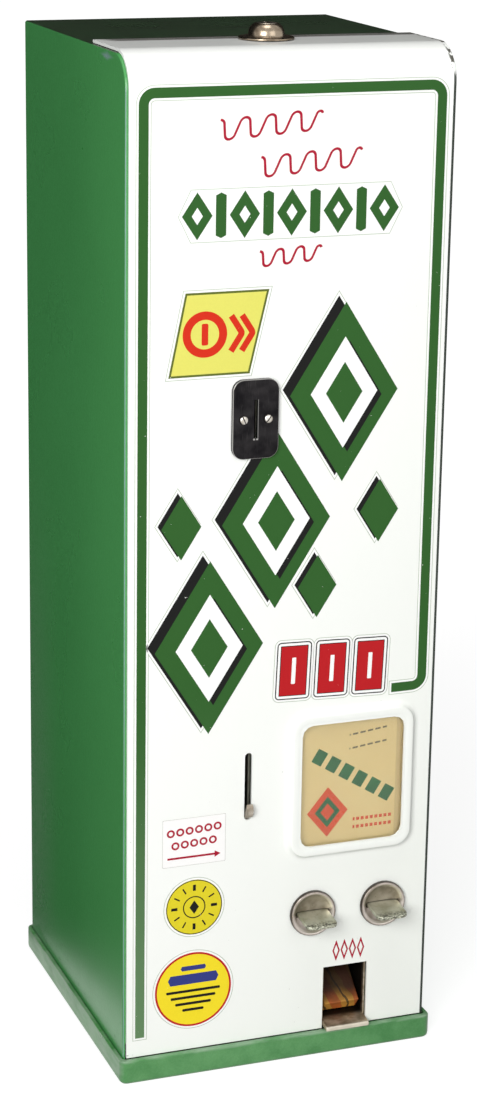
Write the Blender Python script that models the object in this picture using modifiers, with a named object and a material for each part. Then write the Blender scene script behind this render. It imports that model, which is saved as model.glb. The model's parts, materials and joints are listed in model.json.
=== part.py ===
"""Counter gum vending machine: a sheet metal cabinet with a drop-front door that carries the works.

Metres, +Z up. The door faces -Y. Places are written from the door's front face (y = 0) and the
floor (z = 0), and one empty moves the whole machine so that its box is centred on the origin.
"""
import math

import bmesh
import bpy
import numpy as np
from mathutils import Matrix, Vector

# Sizes shared by several pieces
TOUCH = 0.0003            # gap between pieces that seat on each other
RUN = 0.0003              # gap round pieces that turn or slide
CUT = 0.004               # how far a cut runs past the metal
NEAR = 0.000003           # places nearer than this are one place
ARC_STEPS = 12            # facets in a quarter of a large bend
SMALL_ARC_STEPS = 3       # facets in a quarter of a small bend
ROUND_STEPS = 32          # facets round a turned piece
PIN_STEPS = 16            # facets round a pin, a screw or a hole
FOLD_ANGLE = math.radians(60)    # edges sharper than this are rounded
SMOOTH_ANGLE = math.radians(35)
ROUND_PROFILE_SHARE = 0.5        # gives a bevel the section of an arc
SCREW_CROWN_SHARE = 0.6          # flat top of a screw's head, of its radius
SCREW_EDGE_SHARE = 0.5           # straight side of a screw's head, of its height

# Cabinet: folded sheet, open at the front
CABINET_WIDTH = 0.1714
CABINET_HEIGHT = 0.533
CABINET_BACK = 0.175
CABINET_SHEET = 0.0012
RETURN_WIDTH = 0.0045     # narrow flange that the door closes on
TOP_OPENING_DEPTH = 0.0535
BOTTOM_FLANGE = 0.010
FOLD_RADIUS = 0.0011
RELIEF_HEIGHT = 0.0215    # the front flanges stop here, clear of the door's foot as it swings in
RELIEF_BITE = 0.00005     # how far the trimmed flanges' cut bites into the walls

# Base tray: pressed sheet that the cabinet stands in
TRAY_HEIGHT = 0.0135
TRAY_WALL = 0.0020
TRAY_FRONT_WALL = 0.0031  # the front rim is folded over and reaches the door
TRAY_FLOOR = 0.0015
TRAY_PLAY = 0.0005
TRAY_FRONT = 0.0035
TRAY_CORNER = 0.0040
TRAY_FOOT_RADIUS = 0.0025
TRAY_RIM_RADIUS = 0.0007

# Screws that hold the cabinet down
BASE_SCREW_RADIUS = 0.0020
BASE_SCREW_HEAD_RADIUS = 0.0035
BASE_SCREW_HEAD_HEIGHT = 0.0026
BASE_SCREW_INSET = 0.030  # from the cabinet's outside, front to back

# Door
DOOR_SHEET = 0.0015
DOOR_FOOT_GAP = 0.0004
DOOR_TOP_RADIUS = 0.019
DOOR_TOP_DEPTH = 0.058

# Door hinge
HINGE_PIN_RADIUS = 0.0010
HINGE_BEHIND_FACE = 0.0038
HINGE_ABOVE_TRAY = 0.0045
HINGE_PIN_LENGTH = 0.0072
HINGE_EAR_RADIUS = 0.0026
HINGE_EAR_SHEET = 0.0012
HINGE_EAR_INSET = 0.0063  # ear's outer face, from the cabinet wall's inner face
HINGE_EAR_START = -68     # degrees: where the ear's round end leaves the door
HINGE_STRAP_SHEET = 0.0012
HINGE_STRAP_HEIGHT = 0.0040 # its front end is round, so the door's foot turns past it
HINGE_STRAP_INSET = 0.0016  # strap's outer face, from the cabinet wall's inner face
HINGE_STRAP_BEND = 0.0050   # behind the pin
HINGE_STRAP_LENGTH = 0.0130 # behind the pin

# Window, pressed rim and what it holds
WORKS_SIDE_GAP = 0.00465  # between the mechanism frame and the cabinet's right wall
WINDOW_CENTRE_Z = 0.155
WINDOW_WIDTH = 0.0574
WINDOW_HEIGHT = 0.0678
WINDOW_CORNER = 0.006
RIM_BORDER = 0.0052
RIM_CORNER = 0.009
RIM_PROUD = 0.0030
RIM_FILLET = 0.0022
GLASS_LAP = 0.0020
GLASS_THICKNESS = 0.0020
GLASS_PLAY = 0.0003
CARD_THICKNESS = 0.0006
WINDOW_PLATE_THICKNESS = 0.0012
WINDOW_PLATE_LAP = 0.0055

# Coin entry and return
COIN_BESIDE_FRAME = 0.01585  # middle of the coin slot, left of the mechanism frame
COIN_DIAMETER = 0.0179
COIN_PLAY = 0.0011
COIN_GAP = 0.0022         # free width of the track, across the coin
COIN_PLATE_CENTRE_Z = 0.354
COIN_PLATE_WIDTH = 0.0243
COIN_PLATE_HEIGHT = 0.0404
COIN_PLATE_THICKNESS = 0.0020
COIN_PLATE_CORNER = 0.006
COIN_PLATE_EDGE = 0.0006
COIN_SLOT_WIDTH = 0.0019
COIN_SLOT_HEIGHT = 0.0196
PLATE_SCREW_SPACING = 0.0130
PLATE_SCREW_RADIUS = 0.0015
PLATE_SCREW_HEAD_RADIUS = 0.0023
PLATE_SCREW_HEAD_HEIGHT = 0.0011
BACKING_THICKNESS = 0.0016
BACKING_LAP = 0.0020      # how much smaller the backing plate is, each side
RETURN_SLOT_WIDTH = 0.0040
RETURN_SLOT_CORNER = 0.00196
RETURN_SLOT_LOW = 0.1398
RETURN_SLOT_HIGH = 0.1769
CUP_ABOVE_SLOT_FOOT = 0.0014
CUP_NOSE = 0.0044         # how far the cup's nose stands out of the door
CUP_HEIGHT = 0.0100
CUP_FLOOR = 0.0028
CUP_FOOT_WIDTH = 0.012
CUP_FOOT_HEIGHT = 0.010
CUP_FOOT_THICKNESS = 0.0012

# Coin track, a closed channel behind the door
TRACK_SHEET = 0.0012
TRACK_ABOVE_LEVER = 0.0095  # lets the coin lever swing up under the track's foot
TRACK_ABOVE_SLOT = 0.0160 # the track's top end, over the middle of the coin slot
TRACK_BLADE_LOW = 0.138
TRACK_BLADE_HIGH = 0.168

# Pulls and their escutcheons
PULL_SPACING = 0.040
PULL_CENTRE_Z = 0.0826
PULL_STROKE = 0.0220
ESCUTCHEON_RADIUS = 0.0127
ESCUTCHEON_PROUD = 0.0026
ESCUTCHEON_LIP = 0.0020   # width of the rolled rim
ESCUTCHEON_DISH = 0.0030  # depth of the hollow face, from the rim's front
ESCUTCHEON_SHELL = 0.0010
ESCUTCHEON_FACE_SHARES = ((0, 0), (0.55, 0.08), (0.85, 0.35))  # of the face's radius and of its depth
ESCUTCHEON_NECK_RADIUS = 0.0104
ESCUTCHEON_NECK_DEPTH = 0.0032
TAB_WIDTH = 0.0175
TAB_THICKNESS = 0.0018
TAB_REACH = 0.0165
TAB_BEND = 0.0006         # in front of the door's face, where the tab turns down
TAB_DROP = 0.0019         # how much lower its front end is
TAB_CORNER = 0.0034
TAB_SLOT_SIDE = 0.0004
TAB_SLOT_ABOVE = 0.0003
TAB_SLOT_BELOW = 0.0009

# Packs of gum
PACK_WIDTH = 0.037
PACK_DEPTH = 0.020
PACK_THICKNESS = 0.0085
PACK_EDGE = 0.0005
PACKS_IN_STACK = 24
PACK_GROOVE = 0.0005

# Merchandise columns
COLUMN_SHEET = 0.0008
COLUMN_FRONT = 0.0256
COLUMN_PLAY = 0.0010      # round the pack, front and back
COLUMN_LIP = 0.0050
COLUMN_BELOW_TOP = 0.0430 # under the cabinet's top
COLUMN_FOOT_CLEARANCE = 0.0010
BRACKET_SHEET = 0.0012
BRACKET_HALF_WIDTH = 0.0340
BRACKET_HEIGHT = 0.014
BRACKET_BELOW_TOP = 0.010
BRACKET_FOOT = 0.008

# Follower weights
WEIGHT_HEIGHT = 0.018
WEIGHT_PLAY = 0.0008
WEIGHT_TAB_REACH = 0.0060
WEIGHT_TAB_THICKNESS = 0.0030
WEIGHT_TAB_WIDTH = 0.012

# Mechanism frame on the door's back
FRAME_SHEET = 0.0012
DECK_THICKNESS = 0.0018
DECK_GAP = 0.0004
FRAME_ABOVE_SHAFT = 0.0075
FRAME_TAPER_FROM = 0.092
FRAME_REAR_HEIGHT = 0.014
KEEPER_THICKNESS = 0.0010
KEEPER_DEPTH = 0.010
KEEPER_FOOT = 0.0050
KEEPER_Y = 0.0540

# Ejector slides and pushers
TAIL_BEFORE_PAWL = 0.0050 # at full stroke the slide's tail lies this far before the pawl
PUSHER_GAP = 0.0004       # between the pack's back and the pusher
PUSHER_LENGTH = 0.026
PUSHER_HALF_WIDTH = 0.0081
PUSHER_SHEET = 0.0012
PUSHER_BELOW_PACK = 0.0010
NOTCH_BEFORE_PAWL = 0.0048
NOTCH_BEHIND_PAWL = 0.0022
NOTCH_LEFT = 0.0025       # the notch's inner edge, right of the slide's middle
PAWL_IN_NOTCH = 0.0008    # the pawl's left side, from the notch's inner edge

# Return springs
SPRING_RADIUS = 0.0026
SPRING_WIRE = 0.0004      # wire radius
SPRING_ROOM = 0.0308      # between the slide's tail and the frame's rear wall
SPRING_TURNS = 11
SPRING_POINTS = 10        # points in a turn
SPRING_OFFSET = 0.0035

# Release shaft: a coin on its lever lifts the pawls out of the slides
SHAFT_RADIUS = 0.0020
SHAFT_PAST_COIN = 0.0048
SHAFT_END = 0.0005        # past the frame's right side
HUB_RADIUS = 0.0042
RELEASE_Y = 0.066
RELEASE_ABOVE_SLIDE = 0.0170
PAWL_WIDTH = 0.0030
PAWL_ARM = 0.0034
PAWL_TIP_Y = 0.0790
PAWL_TIP_DEPTH = 0.0030
LEVER_WIDTH = 0.0030
LEVER_PAN_FRONT = 0.0055
LEVER_PAN_BACK = 0.0255
LEVER_PAN_BELOW_SHAFT = 0.0035
LEVER_THICKNESS = 0.0028

# Sold-out shaft: a follower weight at the bottom tips the return blade into the track
SOLD_OUT_Y = 0.066
SHAFT_SPACING = 0.0185     # from the release shaft up to the sold-out shaft
FINGER_WIDTH = 0.0060
FINGER_THICKNESS = 0.0022
FINGER_REACH = 0.0500     # how far forward the finger's tip lies
FINGER_TAIL = 0.0950      # how far back its counterweight reaches
FINGER_TAIL_THICKNESS = 0.0052
BLADE_WIDTH = 0.0015
BLADE_THICKNESS = 0.0035
BLADE_BELOW_SLOT_TOP = 0.0169

# Delivery chute, standing on the tray
CHUTE_SHEET = 0.0008
CHUTE_FRONT = 0.0020
CHUTE_BACK = 0.0400
CHUTE_BELOW_DECK = 0.0030
CHUTE_RIM = 0.0016        # straight part of its wide mouth
CHUTE_SLOPE_SHARE = 0.5   # how far a slanted wall's inside lies below its outside, of the sheet
CHUTE_SHOULDER_Z = 0.0520
CHUTE_FLOOR_FRONT = 0.0180
CHUTE_FLOOR_BACK = 0.0240
CHUTE_PLATE = 0.0032      # height of the chute's floor, with the block that its lip is riveted to
NOTCH_OPENING_WIDTH = 0.0254
NOTCH_OPENING_HIGH = 0.0494
LIP_REACH = 0.0060
LIP_THICKNESS = 0.0026
LIP_EDGE = 0.0007
PACK_LEAN = math.radians(40)
PACK_REST_Y = 0.0203    # middle of the pack that has dropped

# Cash box
CASH_FLANGE_GAP = 0.0007
CASH_CHUTE_GAP = 0.00315
CASH_FRONT = 0.0095
CASH_BACK_GAP = 0.0100    # to the cabinet's bottom flange
CASH_HEIGHT = 0.0600
CASH_SHEET = 0.0010
CASH_GRIP_WIDTH = 0.026
CASH_GRIP_DEPTH = 0.012
CASH_GRIP_CORNER = 0.0096

# Lock through the door's top flange
LOCK_Y = 0.0420
LOCK_RING_RADIUS = 0.0140
LOCK_RING_THICKNESS = 0.0014
LOCK_DOME_RADIUS = 0.0086
LOCK_DOME_TOP_RADIUS = 0.0068
LOCK_DOME_HEIGHT = 0.0078
LOCK_BODY_RADIUS = 0.0080
LOCK_BODY_LENGTH = 0.0190  # below the ring's underside
LOCK_PLUG_RADIUS = 0.0052
LOCK_PLUG_OUT = 0.0010     # plug's end below the body
KEYWAY_WIDTH = 0.0016
KEYWAY_LENGTH = 0.0064
KEYWAY_DEPTH = 0.0030
LOCK_NUT_RADIUS = 0.0115
LOCK_NUT_HEIGHT = 0.0036
CAM_LENGTH = 0.0240
CAM_WIDTH = 0.0100
CAM_THICKNESS = 0.0016
CAM_SCREW_RADIUS = 0.0014
CAM_SCREW_HEAD_RADIUS = 0.0034
CAM_SCREW_HEAD_HEIGHT = 0.0020
CAM_SCREW_LENGTH = 0.0060
STRIKE_LEFT = 0.0146
STRIKE_WIDTH = 0.0150
STRIKE_SHEET = 0.0012
STRIKE_BEFORE_CAM = 0.0030
STRIKE_LAP = 0.0120        # under the cabinet's top
STRIKE_BELOW_CAM = 0.0020

# Places that follow from the sizes above, from the outside of the machine to its inside
DOOR_TOP = CABINET_HEIGHT + TOUCH + DOOR_SHEET
DOOR_FOOT = TRAY_HEIGHT + DOOR_FOOT_GAP
CABINET_FRONT = DOOR_SHEET + TOUCH
CABINET_FOOT = TRAY_FLOOR + TOUCH
WALL_INSIDE = CABINET_WIDTH / 2 - CABINET_SHEET
FLANGE_INSIDE = CABINET_WIDTH / 2 - BOTTOM_FLANGE
DOOR_WIDTH = 2 * (WALL_INSIDE - TOUCH)
BACK_OF_DOOR = DOOR_SHEET + TOUCH
HINGE_Y = HINGE_BEHIND_FACE
HINGE_Z = TRAY_HEIGHT + HINGE_ABOVE_TRAY
FRAME_INSIDE = PULL_SPACING + TOUCH / 2     # from the vend centre line to a side's inner face
FRAME_OUTSIDE = FRAME_INSIDE + FRAME_SHEET
VEND_CENTRE_X = WALL_INSIDE - WORKS_SIDE_GAP - FRAME_OUTSIDE    # middle of window, pulls and chute
PULLS = {"left": VEND_CENTRE_X - PULL_SPACING / 2, "right": VEND_CENTRE_X + PULL_SPACING / 2}
COIN_X = VEND_CENTRE_X - FRAME_OUTSIDE - COIN_BESIDE_FRAME
TRACK_HIGH = COIN_PLATE_CENTRE_Z + TRACK_ABOVE_SLOT
TRACK_BACKING_Y = BACK_OF_DOOR + BACKING_THICKNESS + TOUCH
TRACK_INNER_FRONT = TRACK_BACKING_Y + TRACK_SHEET
TRACK_INNER_BACK = TRACK_INNER_FRONT + COIN_DIAMETER + COIN_PLAY
TRACK_BACK = TRACK_INNER_BACK + TRACK_SHEET
SLIDE_TOP = PULL_CENTRE_Z + TAB_THICKNESS / 2
SLIDE_TAIL = PAWL_TIP_Y + PULL_STROKE - TAIL_BEFORE_PAWL
DECK_TOP = SLIDE_TOP - TAB_THICKNESS - DECK_GAP
DECK_BOTTOM = DECK_TOP - DECK_THICKNESS
CHUTE_MOUTH_Z = DECK_BOTTOM - CHUTE_BELOW_DECK
RELEASE_Z = SLIDE_TOP + RELEASE_ABOVE_SLIDE
SOLD_OUT_Z = RELEASE_Z + SHAFT_SPACING
LEVER_PAN_TOP = RELEASE_Z - LEVER_PAN_BELOW_SHAFT
TRACK_LOW = LEVER_PAN_TOP + TRACK_ABOVE_LEVER
BLADE_TOP = RETURN_SLOT_HIGH - BLADE_BELOW_SLOT_TOP
FRAME_HIGH = SOLD_OUT_Z + FRAME_ABOVE_SHAFT
FRAME_BACK = SLIDE_TAIL + SPRING_ROOM + FRAME_SHEET
PACK_FRONT = COLUMN_FRONT + COLUMN_SHEET + COLUMN_PLAY / 2
FIRST_PACK_Z = SLIDE_TOP + TOUCH
PUSHER_TOP = FIRST_PACK_Z + PACK_THICKNESS - PUSHER_BELOW_PACK
STACK_Z = FIRST_PACK_Z + PACK_THICKNESS + TOUCH
STACK_TOP = STACK_Z + PACKS_IN_STACK * PACK_THICKNESS
COLUMN_WIDTH = PULL_SPACING - TOUCH
COLUMN_BACK = PACK_FRONT + PACK_DEPTH + COLUMN_PLAY / 2 + COLUMN_SHEET
COLUMN_LOW = FIRST_PACK_Z + PACK_THICKNESS + COLUMN_FOOT_CLEARANCE
COLUMN_HIGH = CABINET_HEIGHT - COLUMN_BELOW_TOP
CASH_LEFT = -FLANGE_INSIDE + CASH_FLANGE_GAP
CASH_RIGHT = VEND_CENTRE_X - FRAME_OUTSIDE - CASH_CHUTE_GAP
CASH_BACK = CABINET_BACK - BOTTOM_FLANGE - CASH_BACK_GAP
UNDER_TOP = CABINET_HEIGHT - CABINET_SHEET - TOUCH
LOCK_RING_Z = DOOR_TOP + TOUCH
PLUG_END = LOCK_RING_Z - LOCK_BODY_LENGTH - LOCK_PLUG_OUT
CAM_TOP = PLUG_END - TOUCH
TRAY_BACK = CABINET_BACK + TRAY_PLAY + TRAY_WALL
MIDDLE_Y = (TRAY_BACK - TAB_REACH) / 2      # middle of the whole machine, front to back

for old in list(bpy.data.objects):
    bpy.data.objects.remove(old, do_unlink=True)

PARTS = bpy.data.collections.new("gum_vending_machine")
CUTTERS = bpy.data.collections.new("cutters")
bpy.context.scene.collection.children.link(PARTS)
bpy.context.scene.collection.children.link(CUTTERS)


def material(name, colour, roughness, metallic):
    made = bpy.data.materials.new(name)
    made.use_nodes = True
    shader = made.node_tree.nodes["Principled BSDF"]
    shader.inputs["Base Color"].default_value = (*colour, 1)
    shader.inputs["Roughness"].default_value = roughness
    shader.inputs["Metallic"].default_value = metallic
    return made


GREEN = material("green_enamel", (0.040, 0.200, 0.065), 0.30, 0.0)
WHITE = material("white_enamel", (0.90, 0.91, 0.87), 0.25, 0.0)
NICKEL = material("aged_nickel", (0.42, 0.39, 0.34), 0.35, 1.0)
ZINC = material("zinc_plate", (0.50, 0.50, 0.47), 0.45, 1.0)
DARK_STEEL = material("dark_steel", (0.055, 0.050, 0.050), 0.25, 1.0)
BRASS = material("brass", (0.60, 0.44, 0.18), 0.35, 1.0)
GLASS = material("glass", (0.85, 0.90, 0.88), 0.05, 0.0)
CARD = material("tan_card", (0.72, 0.53, 0.28), 0.70, 0.0)
GUM = material("gum_pack", (0.75, 0.55, 0.22), 0.55, 0.0)


def joint_empty(name, y, z, x=0.0, parent=None):
    """An empty on a joint's axis. Its own place is kept from its parent's."""
    empty = bpy.data.objects.new(name, None)
    PARTS.objects.link(empty)
    empty["place"] = (x, y, z)
    if parent:
        empty.parent = parent
        empty.location = Vector((x, y, z)) - Vector(parent["place"])
    else:
        empty.location = (x, y, z)
    return empty


MACHINE = joint_empty("machine", 0, 0)
MACHINE.location = (0, -MIDDLE_Y, 0)
DOOR_HINGE = joint_empty("door_hinge", HINGE_Y, HINGE_Z, 0.0, MACHINE)


def finish(piece, look, carrier):
    """Give a piece its look and hang it on the empty that carries it, without moving it."""
    piece.data.materials.clear()
    piece.data.materials.append(look)
    piece.parent = carrier
    piece.location = piece.location - Vector(carrier["place"])
    return piece


def mesh_piece(name, bm, collection=PARTS, smooth=False):
    bmesh.ops.recalc_face_normals(bm, faces=bm.faces)
    mesh = bpy.data.meshes.new(name)
    bm.to_mesh(mesh)
    bm.free()
    if smooth:
        mesh.shade_smooth()
        mesh.set_sharp_from_angle(angle=SMOOTH_ANGLE)
    piece = bpy.data.objects.new(name, mesh)
    collection.objects.link(piece)
    return piece


def bevel_edges(bm, edges, radius, segments=2):
    """Round these edges."""
    bmesh.ops.bevel(bm, geom=edges, offset=radius, segments=segments, affect="EDGES",
                    profile=ROUND_PROFILE_SHARE)


def soften(piece, choose, radius, segments):
    """Round those sharp edges of a piece that the test picks out."""
    bm = bmesh.new()
    bm.from_mesh(piece.data)
    chosen = [e for e in bm.edges if e.calc_face_angle() > FOLD_ANGLE and choose(e)]
    bevel_edges(bm, chosen, radius, segments)
    bm.to_mesh(piece.data)
    bm.free()


def box(name, low, high, collection=PARTS, edge=0.0):
    """A block between two corners, with all its edges rounded if edge is given."""
    low, high = Vector(low), Vector(high)
    bm = bmesh.new()
    bmesh.ops.create_cube(bm, size=1)
    bmesh.ops.transform(bm, verts=bm.verts, matrix=Matrix.Diagonal((*(high - low), 1)))
    if edge:
        bevel_edges(bm, bm.edges, edge)
    piece = mesh_piece(name, bm, collection)
    piece.location = (low + high) / 2
    return piece


def arc(centre, radius, start, end, steps):
    """Points of an arc, from the start angle to the end angle, both in degrees."""
    angles = np.radians(np.linspace(start, end, steps + 1))
    return [(centre[0] + radius * math.cos(a), centre[1] + radius * math.sin(a)) for a in angles]


def rounded(width, height, radius, centre=(0.0, 0.0), steps=SMALL_ARC_STEPS):
    """A rectangle with rounded corners, round its centre."""
    x, y = width / 2 - radius, height / 2 - radius
    corners = [(x, y, 0), (-x, y, 90), (-x, -y, 180), (x, -y, 270)]
    points = []
    for cx, cy, turn in corners:
        points += arc((centre[0] + cx, centre[1] + cy), radius, turn, turn + 90, steps)
    return points


def rectangle(x0, x1, y0, y1):
    return [(x0, y0), (x1, y0), (x1, y1), (x0, y1)]


def both_sides(half, middle=0.0):
    """Close an outline with the mirror image of its right half."""
    return [(middle + a, b) for a, b in half] + [(middle - a, b) for a, b in reversed(half)]


# How each outline plane turns the curve's own XY plane and its depth: the depth runs from low to high
TURNS = {
    "XY": Matrix.Identity(3),
    "XZ": Matrix(((1, 0, 0), (0, 0, 1), (0, 1, 0))),
    "YZ": Matrix(((0, 0, 1), (1, 0, 0), (0, 1, 0))),
}


def plate(name, outlines, plane, low, high, collection=PARTS, smooth=False):
    """A flat outline, with any holes as further outlines, filled and extruded from low to high."""
    curve = bpy.data.curves.new(name, "CURVE")
    curve.dimensions = "2D"
    curve.fill_mode = "BOTH"
    curve.extrude = (high - low) / 2
    for outline in outlines:
        spline = curve.splines.new("POLY")
        spline.points.add(len(outline) - 1)
        for point, (a, b) in zip(spline.points, outline):
            point.co = (a, b, 0, 1)
        spline.use_cyclic_u = True
    drawn = bpy.data.objects.new(name, curve)
    bpy.context.scene.collection.objects.link(drawn)
    bpy.context.view_layer.update()
    evaluated = drawn.evaluated_get(bpy.context.evaluated_depsgraph_get())
    mesh = bpy.data.meshes.new_from_object(evaluated)
    bpy.data.objects.remove(drawn, do_unlink=True)
    bpy.data.curves.remove(curve)
    bm = bmesh.new()
    bm.from_mesh(mesh)
    bpy.data.meshes.remove(mesh)
    bmesh.ops.remove_doubles(bm, verts=bm.verts, dist=NEAR)
    turn = TURNS[plane].to_4x4()
    bmesh.ops.translate(bm, verts=bm.verts, vec=(0, 0, (low + high) / 2))
    bmesh.ops.transform(bm, verts=bm.verts, matrix=turn)
    return mesh_piece(name, bm, collection, smooth)


def rod(name, centre, radius, axis, low, high, collection=PARTS, steps=PIN_STEPS):
    """A cylinder along X, Y or Z. Its centre gives the other two places, in X, Y, Z order."""
    bm = bmesh.new()
    bmesh.ops.create_cone(bm, cap_ends=True, segments=steps, radius1=radius, radius2=radius, depth=high - low)
    turned = {"X": Matrix.Rotation(math.radians(90), 4, "Y"), "Y": Matrix.Rotation(math.radians(90), 4, "X"),
              "Z": Matrix.Identity(4)}[axis]
    bmesh.ops.transform(bm, verts=bm.verts, matrix=turned)
    piece = mesh_piece(name, bm, collection, smooth=True)
    middle = (low + high) / 2
    piece.location = {"X": (middle, *centre), "Y": (centre[0], middle, centre[1]), "Z": (*centre, middle)}[axis]
    return piece


def turned_piece(name, profile, steps=ROUND_STEPS, collection=PARTS):
    """A solid of revolution about Z. The profile runs round its outer side, from one end to the other."""
    if profile[0][1] < profile[-1][1]:
        profile = profile[::-1]
    mesh = bpy.data.meshes.new(name)
    bm = bmesh.new()
    points = [bm.verts.new((r, 0, z)) for r, z in profile]
    for a, b in zip(points, points[1:]):
        bm.edges.new((a, b))
    if profile[0][0] or profile[-1][0]:
        bm.edges.new((points[-1], points[0]))
    bm.to_mesh(mesh)
    bm.free()
    piece = bpy.data.objects.new(name, mesh)
    collection.objects.link(piece)
    screw = piece.modifiers.new("turn", "SCREW")
    screw.steps = steps
    screw.render_steps = steps
    screw.use_merge_vertices = True
    screw.merge_threshold = NEAR
    screw.use_smooth_shade = True
    return piece


def as_cutter(piece):
    piece.hide_render = True
    piece.display_type = "WIRE"
    for collection in list(piece.users_collection):
        collection.objects.unlink(piece)
    CUTTERS.objects.link(piece)
    return piece


def boolean(piece, tool, operation="DIFFERENCE"):
    """Cut or join a piece with another object, which becomes a cutter carried by the piece."""
    as_cutter(tool)
    modifier = piece.modifiers.new(tool.name, "BOOLEAN")
    modifier.operation = operation
    modifier.solver = "EXACT"
    modifier.object = tool
    tool["works_on"] = piece.name
    return piece


def carry_cutters():
    """Each cutter moves with the piece that it works on."""
    for tool in CUTTERS.objects:
        target = bpy.data.objects[tool["works_on"]]
        while target.name in CUTTERS.objects:
            target = bpy.data.objects[target["works_on"]]
        carrier = target.parent
        tool.parent = carrier
        tool.location = tool.location - Vector(carrier["place"])


def base_tray():
    """Pressed tray with rounded corners, its floor bored for the hold-down screws."""
    half = CABINET_WIDTH / 2 + TRAY_PLAY + TRAY_WALL
    middle = (TRAY_BACK - TRAY_FRONT) / 2
    outline = rounded(2 * half, TRAY_BACK + TRAY_FRONT, TRAY_CORNER, (0, middle), SMALL_ARC_STEPS + 1)
    tray = plate("base_tray", [outline], "XY", 0, TRAY_HEIGHT)
    soften(tray, lambda e: all(abs(v.co.z) < NEAR for v in e.verts), TRAY_FOOT_RADIUS, 3)
    soften(tray, lambda e: all(abs(v.co.z - TRAY_HEIGHT) < NEAR for v in e.verts), TRAY_RIM_RADIUS, 2)
    front, back = TRAY_FRONT_WALL - TRAY_FRONT, TRAY_BACK - TRAY_WALL
    inside = rounded(2 * (half - TRAY_WALL), back - front, TRAY_CORNER - TRAY_WALL,
                     (0, (front + back) / 2))
    boolean(tray, plate("tray_inside", [inside], "XY", TRAY_FLOOR, TRAY_HEIGHT + CUT))
    for name, (x, y) in base_screw_places().items():
        hole = rod("tray_hole_" + name, (x, y), BASE_SCREW_RADIUS + RUN, "Z", -CUT, TRAY_FLOOR + CUT)
        boolean(tray, hole)
    return finish(tray, GREEN, MACHINE)


def base_screw_places():
    x = WALL_INSIDE - BOTTOM_FLANGE / 2
    ys = {"front": BASE_SCREW_INSET, "back": CABINET_BACK - BASE_SCREW_INSET}
    return {f"{end}_{side}": (sign * x, y)
            for end, y in ys.items() for side, sign in (("left", -1), ("right", 1))}


def screw_profile(head_radius, head_height, radius, seat, end):
    """A screw's side, from the crown of its head down or up to its end. The head stands on the seat."""
    crown = seat + math.copysign(head_height, seat - end)
    edge = seat + (crown - seat) * SCREW_EDGE_SHARE
    return [(0, crown), (head_radius * SCREW_CROWN_SHARE, crown), (head_radius, edge), (head_radius, seat),
            (radius, seat), (radius, end), (0, end)]


def base_screws():
    flange_top = CABINET_FOOT + CABINET_SHEET + TOUCH
    profile = screw_profile(BASE_SCREW_HEAD_RADIUS, BASE_SCREW_HEAD_HEIGHT, BASE_SCREW_RADIUS,
                            flange_top, TOUCH)
    for name, (x, y) in base_screw_places().items():
        screw = turned_piece("base_screw_" + name, profile, PIN_STEPS)
        screw.location = (x, y, 0)
        finish(screw, ZINC, MACHINE)


def side_profile(front, low, radius, top, back):
    """Side view of the cabinet: straight front, rounded top front corner, flat top, straight back."""
    centre = (front + radius, top - radius)
    points = [(front, low)] + arc(centre, radius, 180, 90, ARC_STEPS)
    return points + [(back, top), (back, low)]


def cabinet_shell():
    """Folded sheet shell: sides, back and top, with narrow flanges for the door and the tray."""
    half = CABINET_WIDTH / 2
    bend = DOOR_TOP_RADIUS - DOOR_SHEET - TOUCH
    outer = side_profile(CABINET_FRONT, CABINET_FOOT, bend, CABINET_HEIGHT, CABINET_BACK)
    shell = plate("cabinet_shell", [outer], "YZ", -half, half)
    soften(shell, lambda e: max(v.co.z for v in e.verts) > CABINET_FOOT + NEAR, FOLD_RADIUS, 2)
    sheet = CABINET_SHEET
    inner = side_profile(CABINET_FRONT + sheet, CABINET_FOOT + sheet, bend - sheet,
                         CABINET_HEIGHT - sheet, CABINET_BACK - sheet)
    boolean(shell, plate("cabinet_inside", [inner], "YZ", -WALL_INSIDE, WALL_INSIDE))
    opening = half - RETURN_WIDTH
    boolean(shell, box("cabinet_front_opening", (-opening, -CUT, -CUT),
                       (opening, TOP_OPENING_DEPTH, CABINET_HEIGHT + CUT)))
    boolean(shell, box("cabinet_floor_opening", (-FLANGE_INSIDE, -CUT, -CUT),
                       (FLANGE_INSIDE, CABINET_BACK - BOTTOM_FLANGE, CABINET_FOOT + sheet + CUT)))
    relief = WALL_INSIDE + RELIEF_BITE
    boolean(shell, box("cabinet_foot_relief", (-relief, -CUT, -CUT),
                       (relief, CABINET_FRONT + sheet + CUT, RELIEF_HEIGHT)))
    for name, (x, y) in base_screw_places().items():
        boolean(shell, rod("flange_hole_" + name, (x, y), BASE_SCREW_RADIUS + RUN, "Z",
                           -CUT, CABINET_FOOT + sheet + CUT))
    return finish(shell, GREEN, MACHINE)


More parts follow.
